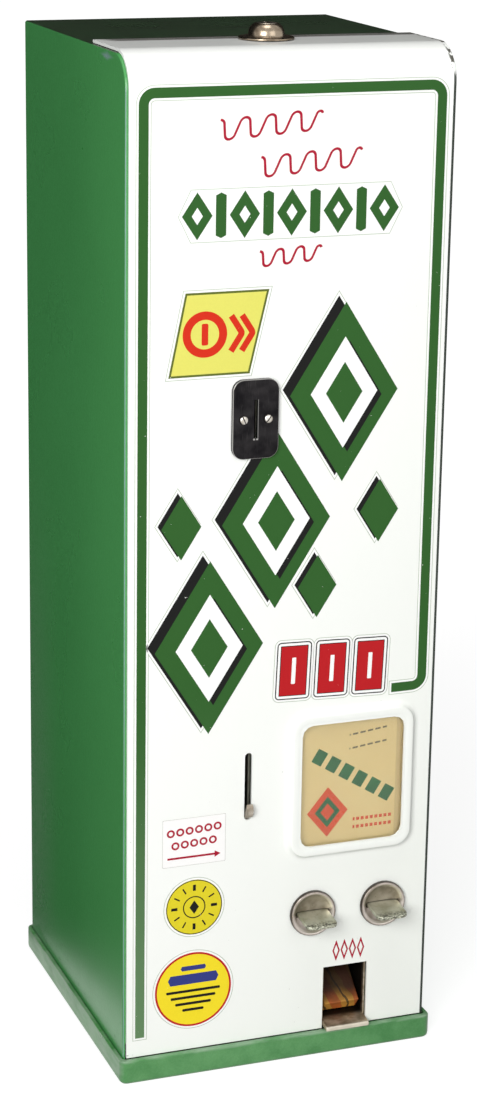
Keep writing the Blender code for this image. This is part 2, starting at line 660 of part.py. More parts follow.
def hinge_straps():
    """Joggled straps on the cabinet's walls, each with the pin that an ear of the door turns on."""
    outer = WALL_INSIDE - HINGE_STRAP_INSET
    inner = outer - HINGE_STRAP_SHEET
    foot = WALL_INSIDE - TOUCH
    step = foot - outer
    front, bend = HINGE_Y - HINGE_STRAP_HEIGHT / 2, HINGE_Y + HINGE_STRAP_BEND
    back = HINGE_Y + HINGE_STRAP_LENGTH
    shape = [(inner, front), (outer, front), (outer, bend), (foot, bend + step), (foot, back),
             (foot - HINGE_STRAP_SHEET, back), (foot - HINGE_STRAP_SHEET, bend + 2 * step),
             (inner, bend + step)]
    low, high = HINGE_Z - HINGE_STRAP_HEIGHT / 2, HINGE_Z + HINGE_STRAP_HEIGHT / 2
    side_view = arc((HINGE_Y, HINGE_Z), HINGE_STRAP_HEIGHT / 2, 90, 270, 2 * SMALL_ARC_STEPS)
    side_view += [(back + CUT, low), (back + CUT, high)]
    for side, sign in (("left", -1), ("right", 1)):
        strap = plate("hinge_strap_" + side, [[(sign * a, b) for a, b in shape]], "XY", low - CUT, high + CUT)
        ends = sorted((sign * (outer + TOUCH), sign * (outer + TOUCH - HINGE_PIN_LENGTH)))
        boolean(strap, plate("strap_side_" + side, [side_view], "YZ", ends[0] - CUT, ends[1] + CUT),
                "INTERSECT")
        boolean(strap, rod("strap_hole_" + side, (HINGE_Y, HINGE_Z), HINGE_PIN_RADIUS + RUN, "X",
                           ends[0] - CUT, ends[1] + CUT))
        finish(strap, ZINC, MACHINE)
        pin = rod("hinge_pin_" + side, (HINGE_Y, HINGE_Z), HINGE_PIN_RADIUS, "X", *ends)
        finish(pin, ZINC, MACHINE)


def lock_strike():
    """Hook under the cabinet's top that the turned cam catches behind."""
    front = LOCK_Y - CAM_WIDTH / 2 - STRIKE_BEFORE_CAM - STRIKE_SHEET
    low = CAM_TOP - CAM_THICKNESS - STRIKE_BELOW_CAM
    back = TOP_OPENING_DEPTH + STRIKE_LAP
    under = UNDER_TOP - STRIKE_SHEET
    outline = [(front, low), (front + STRIKE_SHEET, low), (front + STRIKE_SHEET, under),
               (back, under), (back, UNDER_TOP), (front, UNDER_TOP)]
    strike = plate("lock_strike", [outline], "YZ", STRIKE_LEFT, STRIKE_LEFT + STRIKE_WIDTH)
    return finish(strike, ZINC, MACHINE)


def chute_outline(inset, low):
    """Front view of the funnel, each wall moved inwards by the inset."""
    mouth = FRAME_OUTSIDE - inset
    throat = NOTCH_OPENING_WIDTH / 2 - RUN - inset
    top = CHUTE_MOUTH_Z + (CUT if inset else 0)
    return both_sides([(throat, low), (throat, CHUTE_SHOULDER_Z - inset * CHUTE_SLOPE_SHARE),
                       (mouth, CHUTE_MOUTH_Z - CHUTE_RIM), (mouth, top)], VEND_CENTRE_X)


def chute_floor_z(y):
    """Height of the chute's sloping floor."""
    slope = (CHUTE_FLOOR_BACK - CHUTE_FLOOR_FRONT) / (CHUTE_BACK - CHUTE_FRONT)
    return CHUTE_FLOOR_FRONT + slope * (y - CHUTE_FRONT)


def delivery_chute():
    """Sheet funnel under the deck, with a floor that slopes down to the lip in front of the door."""
    chute = plate("delivery_chute", [chute_outline(0, CABINET_FOOT)], "XZ", CHUTE_FRONT, CHUTE_BACK)
    inside = plate("chute_inside", [chute_outline(CHUTE_SHEET, CABINET_FOOT + CUT)], "XZ",
                   CHUTE_FRONT - CUT, CHUTE_BACK - CHUTE_SHEET)
    front, top = CHUTE_FRONT - 2 * CUT, CHUTE_MOUTH_Z + 2 * CUT
    above = [(front, chute_floor_z(front)), (CHUTE_BACK, CHUTE_FLOOR_BACK), (CHUTE_BACK, top), (front, top)]
    left, right = VEND_CENTRE_X - FRAME_OUTSIDE - CUT, VEND_CENTRE_X + FRAME_OUTSIDE + CUT
    boolean(inside, plate("chute_above_floor", [above], "YZ", left, right), "INTERSECT")
    boolean(chute, inside)
    throat = NOTCH_OPENING_WIDTH / 2 - RUN
    near, far = CHUTE_FRONT - CUT, CHUTE_BACK - CHUTE_SHEET
    below = [(near, -CUT), (far, -CUT), (far, chute_floor_z(far) - CHUTE_PLATE),
             (near, chute_floor_z(near) - CHUTE_PLATE)]
    boolean(chute, plate("chute_below_floor", [below], "YZ", VEND_CENTRE_X - throat + CHUTE_SHEET,
                         VEND_CENTRE_X + throat - CHUTE_SHEET))
    back = CHUTE_FRONT + CHUTE_SHEET
    lip_high, back_high = chute_floor_z(-LIP_REACH), chute_floor_z(back)
    side_view = [(-LIP_REACH, lip_high), (back, back_high), (back, back_high - LIP_THICKNESS),
                 (-LIP_REACH, lip_high - LIP_THICKNESS)]
    lip = plate("chute_lip", [side_view], "YZ", VEND_CENTRE_X - throat, VEND_CENTRE_X + throat)
    soften(lip, lambda e: True, LIP_EDGE, 2)
    boolean(chute, lip, "UNION")
    return finish(chute, ZINC, MACHINE)


def cash_box():
    """Open tray for the coins, with a finger notch in its front wall."""
    empty = joint_empty("cash_box_lift", CASH_FRONT, CABINET_FOOT, (CASH_LEFT + CASH_RIGHT) / 2, MACHINE)
    tray = box("cash_box", (CASH_LEFT, CASH_FRONT, CABINET_FOOT), (CASH_RIGHT, CASH_BACK, CASH_HEIGHT))
    sheet = CASH_SHEET
    boolean(tray, box("cash_inside", (CASH_LEFT + sheet, CASH_FRONT + sheet, CABINET_FOOT + sheet),
                      (CASH_RIGHT - sheet, CASH_BACK - sheet, CASH_HEIGHT + CUT)))
    middle = (CASH_LEFT + CASH_RIGHT) / 2
    grip = rounded(CASH_GRIP_WIDTH, 2 * CASH_GRIP_DEPTH, CASH_GRIP_CORNER, (middle, CASH_HEIGHT))
    boolean(tray, plate("cash_grip", [grip], "XZ", CASH_FRONT - CUT, CASH_FRONT + sheet + CUT))
    return finish(tray, ZINC, empty)


def door_profile():
    """Side view of the door sheet: straight front, bend over the top, flat top flange."""
    top, radius, sheet = DOOR_TOP, DOOR_TOP_RADIUS, DOOR_SHEET
    outer = arc((radius, top - radius), radius, 180, 90, ARC_STEPS)
    inner = arc((radius, top - radius), radius - sheet, 90, 180, ARC_STEPS)
    back = [(DOOR_TOP_DEPTH, top), (DOOR_TOP_DEPTH, top - sheet)]
    return [(0, DOOR_FOOT)] + outer + back + inner + [(sheet, DOOR_FOOT)]


def window_rim():
    """The rim pressed forward round the window, filleted at its front edge."""
    width, height = WINDOW_WIDTH + 2 * RIM_BORDER, WINDOW_HEIGHT + 2 * RIM_BORDER
    outline = rounded(width, height, RIM_CORNER, (VEND_CENTRE_X, WINDOW_CENTRE_Z), SMALL_ARC_STEPS + 1)
    rim = plate("window_rim", [outline], "XZ", -RIM_PROUD, DOOR_SHEET / 2)
    soften(rim, lambda e: all(abs(v.co.y + RIM_PROUD) < NEAR for v in e.verts), RIM_FILLET, 3)
    return rim


def front_door():
    """White sheet door with its window rim, its openings and the two hinge ears at its foot."""
    half = DOOR_WIDTH / 2
    door = plate("front_door", [door_profile()], "YZ", -half, half)
    boolean(door, window_rim(), "UNION")
    window = (VEND_CENTRE_X, WINDOW_CENTRE_Z)
    pocket = rounded(WINDOW_WIDTH + 2 * GLASS_LAP, WINDOW_HEIGHT + 2 * GLASS_LAP, WINDOW_CORNER, window)
    boolean(door, plate("glass_pocket", [pocket], "XZ", -RIM_PROUD + DOOR_SHEET, DOOR_SHEET + CUT))
    hole = rounded(WINDOW_WIDTH, WINDOW_HEIGHT, WINDOW_CORNER, window)
    boolean(door, plate("window_hole", [hole], "XZ", -RIM_PROUD - CUT, DOOR_SHEET + CUT))
    entry = rounded(COIN_SLOT_WIDTH + 2 * COIN_PLAY, COIN_SLOT_HEIGHT + 2 * COIN_PLAY, COIN_PLAY,
                    (COIN_X, COIN_PLATE_CENTRE_Z))
    boolean(door, plate("coin_entry_hole", [entry], "XZ", -CUT, DOOR_SHEET + CUT))
    slot_height = RETURN_SLOT_HIGH - RETURN_SLOT_LOW
    slot = rounded(RETURN_SLOT_WIDTH, slot_height, RETURN_SLOT_CORNER,
                   (COIN_X, RETURN_SLOT_LOW + slot_height / 2))
    boolean(door, plate("return_slot", [slot], "XZ", -CUT, DOOR_SHEET + CUT))
    notch = NOTCH_OPENING_WIDTH / 2
    boolean(door, box("delivery_notch", (VEND_CENTRE_X - notch, -CUT, -CUT),
                      (VEND_CENTRE_X + notch, DOOR_SHEET + CUT, NOTCH_OPENING_HIGH)))
    for side, x in PULLS.items():
        boolean(door, rod("pull_hole_" + side, (x, PULL_CENTRE_Z), ESCUTCHEON_NECK_RADIUS + RUN, "Y",
                          -CUT, DOOR_SHEET + CUT, steps=ROUND_STEPS))
    boolean(door, rod("lock_hole", (0, LOCK_Y), LOCK_BODY_RADIUS + RUN, "Z", DOOR_TOP - DOOR_SHEET - CUT,
                      DOOR_TOP + CUT, steps=ROUND_STEPS))
    for side, sign in (("left", -1), ("right", 1)):
        x = COIN_X + sign * PLATE_SCREW_SPACING / 2
        boolean(door, rod("plate_screw_hole_" + side, (x, COIN_PLATE_CENTRE_Z), PLATE_SCREW_RADIUS + RUN, "Y",
                          -CUT, DOOR_SHEET + CUT))
        outer = WALL_INSIDE - HINGE_EAR_INSET
        ear_x = sorted((sign * outer, sign * (outer - HINGE_EAR_SHEET)))
        ear = [(DOOR_SHEET / 2, DOOR_FOOT)]
        ear += arc((HINGE_Y, HINGE_Z), HINGE_EAR_RADIUS, HINGE_EAR_START, 90, 2 * SMALL_ARC_STEPS)
        ear += [(DOOR_SHEET / 2, HINGE_Z + HINGE_EAR_RADIUS)]
        eye = arc((HINGE_Y, HINGE_Z), HINGE_PIN_RADIUS + RUN, 0, 360, PIN_STEPS)[:-1]
        boolean(door, plate("hinge_ear_" + side, [ear, eye], "YZ", *ear_x), "UNION")
    return finish(door, WHITE, DOOR_HINGE)


def window_parts():
    """Glass and card held in the rim's pocket by a plate behind the door."""
    centre = (VEND_CENTRE_X, WINDOW_CENTRE_Z)
    width = WINDOW_WIDTH + 2 * (GLASS_LAP - GLASS_PLAY)
    height = WINDOW_HEIGHT + 2 * (GLASS_LAP - GLASS_PLAY)
    pane = rounded(width, height, WINDOW_CORNER, centre)
    front = -RIM_PROUD + DOOR_SHEET + TOUCH
    finish(plate("window_glass", [pane], "XZ", front, front + GLASS_THICKNESS), GLASS, DOOR_HINGE)
    card = front + GLASS_THICKNESS + TOUCH
    finish(plate("display_card", [pane], "XZ", card, card + CARD_THICKNESS), CARD, DOOR_HINGE)
    behind = max(card + CARD_THICKNESS, DOOR_SHEET) + TOUCH
    cover = rounded(WINDOW_WIDTH + 2 * WINDOW_PLATE_LAP, WINDOW_HEIGHT + 2 * WINDOW_PLATE_LAP,
                    WINDOW_CORNER, centre)
    finish(plate("window_back_plate", [cover], "XZ", behind, behind + WINDOW_PLATE_THICKNESS), ZINC, DOOR_HINGE)


def coin_slot_plate():
    """Dark steel plate with the coin slot, its edge broken, held by two screws."""
    centre = (COIN_X, COIN_PLATE_CENTRE_Z)
    outline = rounded(COIN_PLATE_WIDTH, COIN_PLATE_HEIGHT, COIN_PLATE_CORNER, centre, SMALL_ARC_STEPS + 2)
    face = plate("coin_slot_plate", [outline], "XZ", -TOUCH - COIN_PLATE_THICKNESS, -TOUCH)
    edge = face.modifiers.new("edge", "BEVEL")
    edge.width = COIN_PLATE_EDGE
    edge.segments = 2
    edge.limit_method = "ANGLE"
    edge.angle_limit = FOLD_ANGLE
    slot = rectangle(COIN_X - COIN_SLOT_WIDTH / 2, COIN_X + COIN_SLOT_WIDTH / 2,
                     COIN_PLATE_CENTRE_Z - COIN_SLOT_HEIGHT / 2, COIN_PLATE_CENTRE_Z + COIN_SLOT_HEIGHT / 2)
    boolean(face, plate("coin_slot", [slot], "XZ", -COIN_PLATE_THICKNESS - CUT, CUT))
    for side, x in plate_screw_places().items():
        boolean(face, rod("plate_hole_" + side, (x, COIN_PLATE_CENTRE_Z), PLATE_SCREW_RADIUS + RUN, "Y",
                          -COIN_PLATE_THICKNESS - CUT, CUT))
    return finish(face, DARK_STEEL, DOOR_HINGE)


def plate_screw_places():
    return {"left": COIN_X - PLATE_SCREW_SPACING / 2, "right": COIN_X + PLATE_SCREW_SPACING / 2}


def plate_screws():
    """Pan-head screws through the plate and the door into the backing plate."""
    profile = screw_profile(PLATE_SCREW_HEAD_RADIUS, PLATE_SCREW_HEAD_HEIGHT, PLATE_SCREW_RADIUS,
                            COIN_PLATE_THICKNESS + 2 * TOUCH, -BACK_OF_DOOR - BACKING_THICKNESS)
    for side, x in plate_screw_places().items():
        screw = turned_piece("plate_screw_" + side, profile, PIN_STEPS)
        screw.rotation_euler = (math.radians(90), 0, 0)
        screw.location = (x, 0, COIN_PLATE_CENTRE_Z)
        finish(screw, NICKEL, DOOR_HINGE)


def backing_plate():
    """Tapped plate behind the door that the two screws draw up."""
    centre = (COIN_X, COIN_PLATE_CENTRE_Z)
    outline = rounded(COIN_PLATE_WIDTH - 2 * BACKING_LAP, COIN_PLATE_HEIGHT - 2 * BACKING_LAP,
                      COIN_PLATE_CORNER - BACKING_LAP, centre)
    slot = rectangle(COIN_X - COIN_GAP / 2, COIN_X + COIN_GAP / 2,
                     COIN_PLATE_CENTRE_Z - COIN_SLOT_HEIGHT / 2, COIN_PLATE_CENTRE_Z + COIN_SLOT_HEIGHT / 2)
    holes = [arc((x, COIN_PLATE_CENTRE_Z), PLATE_SCREW_RADIUS + RUN, 0, 360, PIN_STEPS)[:-1]
             for x in plate_screw_places().values()]
    made = plate("coin_backing_plate", [outline, slot] + holes, "XZ",
                 BACK_OF_DOOR, BACK_OF_DOOR + BACKING_THICKNESS)
    return finish(made, ZINC, DOOR_HINGE)


def coin_track():
    """Channel that the coin falls down on edge, closed by a flat cover on its left."""
    left, right = COIN_X - COIN_GAP / 2, COIN_X + COIN_GAP / 2
    outer = right + TRACK_SHEET
    channel = [(left, TRACK_BACKING_Y), (outer, TRACK_BACKING_Y), (outer, TRACK_BACK), (left, TRACK_BACK),
               (left, TRACK_INNER_BACK), (right, TRACK_INNER_BACK), (right, TRACK_INNER_FRONT),
               (left, TRACK_INNER_FRONT)]
    track = plate("coin_track", [channel], "XY", TRACK_LOW, TRACK_HIGH)
    front = (TRACK_BACKING_Y - CUT, TRACK_INNER_FRONT + TRACK_SHEET)
    back = (TRACK_INNER_BACK - TRACK_SHEET, TRACK_BACK + CUT)
    slot_low, slot_high = COIN_PLATE_CENTRE_Z - COIN_SLOT_HEIGHT / 2, COIN_PLATE_CENTRE_Z + COIN_SLOT_HEIGHT / 2
    for name, ys, zs, far in (("track_entry", front, (slot_low, slot_high), right),
                              ("track_return", front, (RETURN_SLOT_LOW, RETURN_SLOT_HIGH), right),
                              ("track_blade_slot", back, (TRACK_BLADE_LOW, TRACK_BLADE_HIGH),
                               right + TRACK_SHEET / 2)):
        boolean(track, box(name, (left - CUT, ys[0], zs[0]), (far, ys[1], zs[1])))
    finish(track, ZINC, DOOR_HINGE)
    cover = box("coin_track_cover", (left - TOUCH - TRACK_SHEET, TRACK_BACKING_Y, TRACK_LOW),
                (left - TOUCH, TRACK_BACK, TRACK_HIGH))
    finish(cover, ZINC, DOOR_HINGE)


def coin_return_cup():
    """Scoop in the foot of the return slot, with a rounded nose that holds the coin."""
    half = RETURN_SLOT_WIDTH / 2 - RUN
    low = RETURN_SLOT_LOW + CUP_ABOVE_SLOT_FOOT
    radius = CUP_HEIGHT / 2
    inside = TRACK_BACKING_Y - TOUCH
    floor = low + CUP_FLOOR
    nose = arc((-CUP_NOSE + radius, low + radius), radius, -90, -225, 2 * SMALL_ARC_STEPS)
    outline = [(inside, low)] + nose + [(0, floor), (inside, floor)]
    cup = plate("coin_return_cup", [outline], "YZ", COIN_X - half, COIN_X + half)
    foot = box("cup_foot", (COIN_X - CUP_FOOT_WIDTH / 2, BACK_OF_DOOR, low - CUP_FOOT_HEIGHT / 2),
               (COIN_X + CUP_FOOT_WIDTH / 2, BACK_OF_DOOR + CUP_FOOT_THICKNESS, low + CUP_FLOOR))
    boolean(cup, foot, "UNION")
    return finish(cup, NICKEL, DOOR_HINGE)


def escutcheons():
    """Turned nickel cups round the pulls: rolled rim, hollow face, neck through the door."""
    front, lip, shell = ESCUTCHEON_PROUD, ESCUTCHEON_LIP, ESCUTCHEON_SHELL
    outer, neck, depth = ESCUTCHEON_RADIUS, ESCUTCHEON_NECK_RADIUS, ESCUTCHEON_NECK_DEPTH
    bottom = front - ESCUTCHEON_DISH
    inner = outer - lip
    rolled = arc((outer - lip / 2, front - lip / 2), lip / 2, 150, 0, 2 * SMALL_ARC_STEPS)
    face_drop = [(inner * out, bottom + ESCUTCHEON_DISH * up) for out, up in ESCUTCHEON_FACE_SHARES]
    profile = face_drop + rolled + [(outer, TOUCH), (neck, TOUCH), (neck, -depth), (neck - shell, -depth),
                                    (neck - shell, bottom - shell), (0, bottom - shell)]
    high = SLIDE_TOP + TAB_SLOT_ABOVE
    low = SLIDE_TOP - TAB_THICKNESS - TAB_SLOT_BELOW
    for side, x in PULLS.items():
        cup = turned_piece("pull_escutcheon_" + side, profile)
        cup.rotation_euler = (math.radians(90), 0, 0)
        cup.location = (x, 0, PULL_CENTRE_Z)
        reach = TAB_WIDTH / 2 + TAB_SLOT_SIDE
        boolean(cup, box("tab_slot_" + side, (x - reach, -front - CUT, low), (x + reach, depth + CUT, high)))
        finish(cup, NICKEL, DOOR_HINGE)


def mechanism_frame():
    """Folded frame on the door's back: a deck for the slides between two sides that carry the shafts."""
    left, right = VEND_CENTRE_X - FRAME_OUTSIDE, VEND_CENTRE_X + FRAME_OUTSIDE
    outline = both_sides([(FRAME_INSIDE, DECK_TOP), (FRAME_INSIDE, FRAME_HIGH), (FRAME_OUTSIDE, FRAME_HIGH),
                          (FRAME_OUTSIDE, DECK_BOTTOM)], VEND_CENTRE_X)
    frame = plate("mechanism_frame", [outline], "XZ", BACK_OF_DOOR, FRAME_BACK)
    boolean(frame, box("deck_drop", (VEND_CENTRE_X - FRAME_INSIDE, -CUT, DECK_BOTTOM - CUT),
                       (VEND_CENTRE_X + FRAME_INSIDE, COLUMN_FRONT, DECK_TOP + CUT)))
    rear = DECK_BOTTOM + FRAME_REAR_HEIGHT
    taper = [(FRAME_TAPER_FROM, FRAME_HIGH + CUT), (FRAME_TAPER_FROM, FRAME_HIGH), (FRAME_BACK - CUT, rear),
             (FRAME_BACK + CUT, rear), (FRAME_BACK + CUT, FRAME_HIGH + CUT)]
    boolean(frame, plate("frame_taper", [taper], "YZ", left - CUT, right + CUT))
    boolean(frame, box("frame_rear_wall", (left, FRAME_BACK - FRAME_SHEET, DECK_BOTTOM),
                       (right, FRAME_BACK, rear)), "UNION")
    for name, y, z in (("release", RELEASE_Y, RELEASE_Z), ("sold_out", SOLD_OUT_Y, SOLD_OUT_Z)):
        boolean(frame, rod(name + "_shaft_holes", (y, z), SHAFT_RADIUS + RUN, "X", left - CUT, right + CUT))
    return finish(frame, ZINC, DOOR_HINGE)


def slide_keepers():
    """Straps bridged over the pushers that hold them and the slides down on the deck."""
    half, sheet = TAB_WIDTH / 2 + RUN, KEEPER_THICKNESS
    low, high = DECK_TOP + TOUCH, PUSHER_TOP + RUN
    foot = half + sheet + KEEPER_FOOT
    shape = [(half, high), (half, low), (foot, low), (foot, low + sheet), (half + sheet, low + sheet),
             (half + sheet, high + sheet)]
    for side, x in PULLS.items():
        strap = plate("slide_keeper_" + side, [both_sides(shape, x)], "XZ", KEEPER_Y, KEEPER_Y + KEEPER_DEPTH)
        finish(strap, ZINC, DOOR_HINGE)


def merchandise_columns():
    """Sheet channels, open at the back for loading, that hold the packs over the slides."""
    half, sheet = COLUMN_WIDTH / 2, COLUMN_SHEET
    inner, lip = half - sheet, half - COLUMN_LIP
    shape = [(half, COLUMN_FRONT), (half, COLUMN_BACK), (lip, COLUMN_BACK), (lip, COLUMN_BACK - sheet),
             (inner, COLUMN_BACK - sheet), (inner, COLUMN_FRONT + sheet)]
    for side, x in PULLS.items():
        column = plate("column_" + side, [both_sides(shape, x)], "XY", COLUMN_LOW, COLUMN_HIGH)
        finish(column, ZINC, DOOR_HINGE)


def column_bracket():
    """Hat-shaped strap that ties the tops of the columns to the door."""
    half, foot, sheet = BRACKET_HALF_WIDTH, BRACKET_HALF_WIDTH + BRACKET_FOOT, BRACKET_SHEET
    web = COLUMN_FRONT - TOUCH
    shape = [(half, web - sheet), (half, BACK_OF_DOOR), (foot, BACK_OF_DOOR), (foot, BACK_OF_DOOR + sheet),
             (half + sheet, BACK_OF_DOOR + sheet), (half + sheet, web)]
    high = COLUMN_HIGH - BRACKET_BELOW_TOP
    bracket = plate("column_bracket", [both_sides(shape, VEND_CENTRE_X)], "XY", high - BRACKET_HEIGHT, high)
    return finish(bracket, ZINC, DOOR_HINGE)


def gum_stacks():
    """The packs that wait in each column, as one stack with a groove at every joint."""
    half, groove = PACK_WIDTH / 2, PACK_GROOVE
    edge = []
    for pack in range(PACKS_IN_STACK):
        low = STACK_Z + pack * PACK_THICKNESS
        edge += [(half - groove, low), (half, low + groove), (half, low + PACK_THICKNESS - groove)]
    edge += [(half - groove, STACK_TOP)]
    for side, x in PULLS.items():
        stack = plate("gum_stack_" + side, [both_sides(edge, x)], "XZ", PACK_FRONT, PACK_FRONT + PACK_DEPTH)
        finish(stack, GUM, DOOR_HINGE)


def follower_weights():
    """Steel blocks that ride down on the stacks, each with a tab that reaches out of the column's back."""
    low, high = STACK_TOP + TOUCH, STACK_TOP + TOUCH + WEIGHT_HEIGHT
    front = PACK_FRONT
    back = PACK_FRONT + PACK_DEPTH
    for side, x in PULLS.items():
        empty = joint_empty("weight_slide_" + side, (front + back) / 2, low, x, DOOR_HINGE)
        half = PACK_WIDTH / 2 - WEIGHT_PLAY
        weight = box("follower_weight_" + side, (x - half, front, low), (x + half, back, high),
                     edge=PACK_EDGE)
        tab_half, tab_low = WEIGHT_TAB_WIDTH / 2, low + PACK_EDGE
        tab = box("weight_tab_" + side, (x - tab_half, back - WEIGHT_TAB_THICKNESS, tab_low),
                  (x + tab_half, back + WEIGHT_TAB_REACH, tab_low + WEIGHT_TAB_THICKNESS))
        boolean(weight, tab, "UNION")
        finish(weight, DARK_STEEL, empty)


def ejectors():
    """Per pull: the flat slide whose bent front end is the tab, the pusher on it and the pack in front."""
    low, half = SLIDE_TOP - TAB_THICKNESS, TAB_WIDTH / 2
    side_view = [(SLIDE_TAIL, SLIDE_TOP), (-TAB_BEND, SLIDE_TOP), (-TAB_REACH, SLIDE_TOP - TAB_DROP),
                 (-TAB_REACH, low - TAB_DROP), (-TAB_BEND, low), (SLIDE_TAIL, low)]
    corner = (half - TAB_CORNER, -TAB_REACH + TAB_CORNER)
    shape = [(half, SLIDE_TAIL + CUT)] + arc(corner, TAB_CORNER, 0, -90, 2 * SMALL_ARC_STEPS)
    sheet = PUSHER_SHEET
    channel = [(PUSHER_HALF_WIDTH - sheet, PUSHER_TOP - sheet), (PUSHER_HALF_WIDTH - sheet, FIRST_PACK_Z),
               (PUSHER_HALF_WIDTH, FIRST_PACK_Z), (PUSHER_HALF_WIDTH, PUSHER_TOP)]
    pusher_front = PACK_FRONT + PACK_DEPTH + PUSHER_GAP
    for side, x in PULLS.items():
        empty = joint_empty("pull_" + side, 0, PULL_CENTRE_Z, x, DOOR_HINGE)
        slide = plate("pull_slide_" + side, [side_view], "YZ", x - TAB_WIDTH, x + TAB_WIDTH)
        boolean(slide, plate("slide_top_view_" + side, [both_sides(shape, x)], "XY",
                             low - TAB_DROP - CUT, SLIDE_TOP + CUT), "INTERSECT")
        boolean(slide, box("pawl_notch_" + side,
                           (x + NOTCH_LEFT, PAWL_TIP_Y - NOTCH_BEFORE_PAWL, low - CUT),
                           (x + half + CUT, PAWL_TIP_Y + NOTCH_BEHIND_PAWL, SLIDE_TOP + CUT)))
        finish(slide, ZINC, empty)
        pusher = plate("pusher_" + side, [both_sides(channel, x)], "XZ",
                       pusher_front, pusher_front + PUSHER_LENGTH)
        finish(pusher, BRASS, empty)
        pack = box("next_pack_" + side, (x - PACK_WIDTH / 2, PACK_FRONT, FIRST_PACK_Z),
                   (x + PACK_WIDTH / 2, PACK_FRONT + PACK_DEPTH, FIRST_PACK_Z + PACK_THICKNESS), edge=PACK_EDGE)
        finish(pack, GUM, empty)


def return_springs():
    """Coil springs that draw the slides back, each from a slide's tail to the frame's rear wall."""
    start, end = SLIDE_TAIL + TOUCH, FRAME_BACK - FRAME_SHEET - TOUCH
    straight = 2 * SPRING_WIRE
    count = SPRING_TURNS * SPRING_POINTS
    for side, x in PULLS.items():
        points = []
        for i in range(count + 1):
            angle = 2 * math.pi * i / SPRING_POINTS - math.pi / 2
            along = start + straight + (end - start - 2 * straight) * i / count
            points.append((SPRING_RADIUS * math.cos(angle), along, SPRING_RADIUS * math.sin(angle)))
        points = [(points[0][0], start, points[0][2])] + points + [(points[-1][0], end, points[-1][2])]
        turns = np.array(points)
        far = SPRING_POINTS // 2
        least = min(np.linalg.norm(turns[i + far:] - turns[i], axis=1).min() for i in range(len(turns) - far))
        print("return spring", side, "least gap to itself", round(float(least - 2 * SPRING_WIRE), 5))
        curve = bpy.data.curves.new("return_spring_" + side, "CURVE")
        curve.dimensions = "3D"
        curve.bevel_depth = SPRING_WIRE
        curve.bevel_resolution = 1
        curve.use_fill_caps = True
        spline = curve.splines.new("POLY")
        spline.points.add(len(points) - 1)
        for point, place in zip(spline.points, points):
            point.co = (*place, 1)
        spring = bpy.data.objects.new("return_spring_" + side, curve)
        PARTS.objects.link(spring)
        spring.location = (x - SPRING_OFFSET, 0, DECK_TOP + RUN + SPRING_WIRE + SPRING_RADIUS)
        finish(spring, ZINC, DOOR_HINGE)


def cross_shaft(name, centre, empty):
    """A shaft across the mechanism frame that also reaches the coin track."""
    right = VEND_CENTRE_X + FRAME_OUTSIDE + SHAFT_END
    return finish(rod(name, centre, SHAFT_RADIUS, "X", COIN_X - SHAFT_PAST_COIN, right), ZINC, empty)


def arm(name, shape, centre, x, width, look, empty):
    """A flat arm on a shaft, bored to seat on it."""
    eye = arc(centre, SHAFT_RADIUS + TOUCH, 0, 360, PIN_STEPS)[:-1]
    made = plate(name, [shape, eye], "YZ", x - width / 2, x + width / 2)
    return finish(made, look, empty)


def release_works():
    """Shaft with a lever under the coin track and a pawl over each slide."""
    centre = (RELEASE_Y, RELEASE_Z)
    empty = joint_empty("release_shaft_axis", *centre, 0.0, DOOR_HINGE)
    cross_shaft("release_shaft", centre, empty)
    hub = HUB_RADIUS
    pan_low = LEVER_PAN_TOP - LEVER_THICKNESS
    lever = arc(centre, hub, -120, 120, 2 * SMALL_ARC_STEPS + 2)
    lever += [(LEVER_PAN_BACK, LEVER_PAN_TOP), (LEVER_PAN_FRONT, LEVER_PAN_TOP),
              (LEVER_PAN_FRONT, pan_low), (LEVER_PAN_BACK, pan_low)]
    arm("coin_lever", lever, centre, COIN_X, LEVER_WIDTH, BRASS, empty)
    tip_low = SLIDE_TOP + RUN
    tip_back = PAWL_TIP_Y + PAWL_TIP_DEPTH / 2
    tip_front = PAWL_TIP_Y - PAWL_TIP_DEPTH / 2
    for side, x in PULLS.items():
        pawl = arc(centre, hub, 60, 300, 2 * SMALL_ARC_STEPS + 2)
        pawl += [(tip_front, RELEASE_Z - PAWL_ARM), (tip_front, tip_low), (tip_back, tip_low),
                 (tip_back, RELEASE_Z), (RELEASE_Y + hub, RELEASE_Z + hub / 2)]
        middle = x + NOTCH_LEFT + PAWL_IN_NOTCH + PAWL_WIDTH / 2
        arm("slide_pawl_" + side, pawl, centre, middle, PAWL_WIDTH, BRASS, empty)


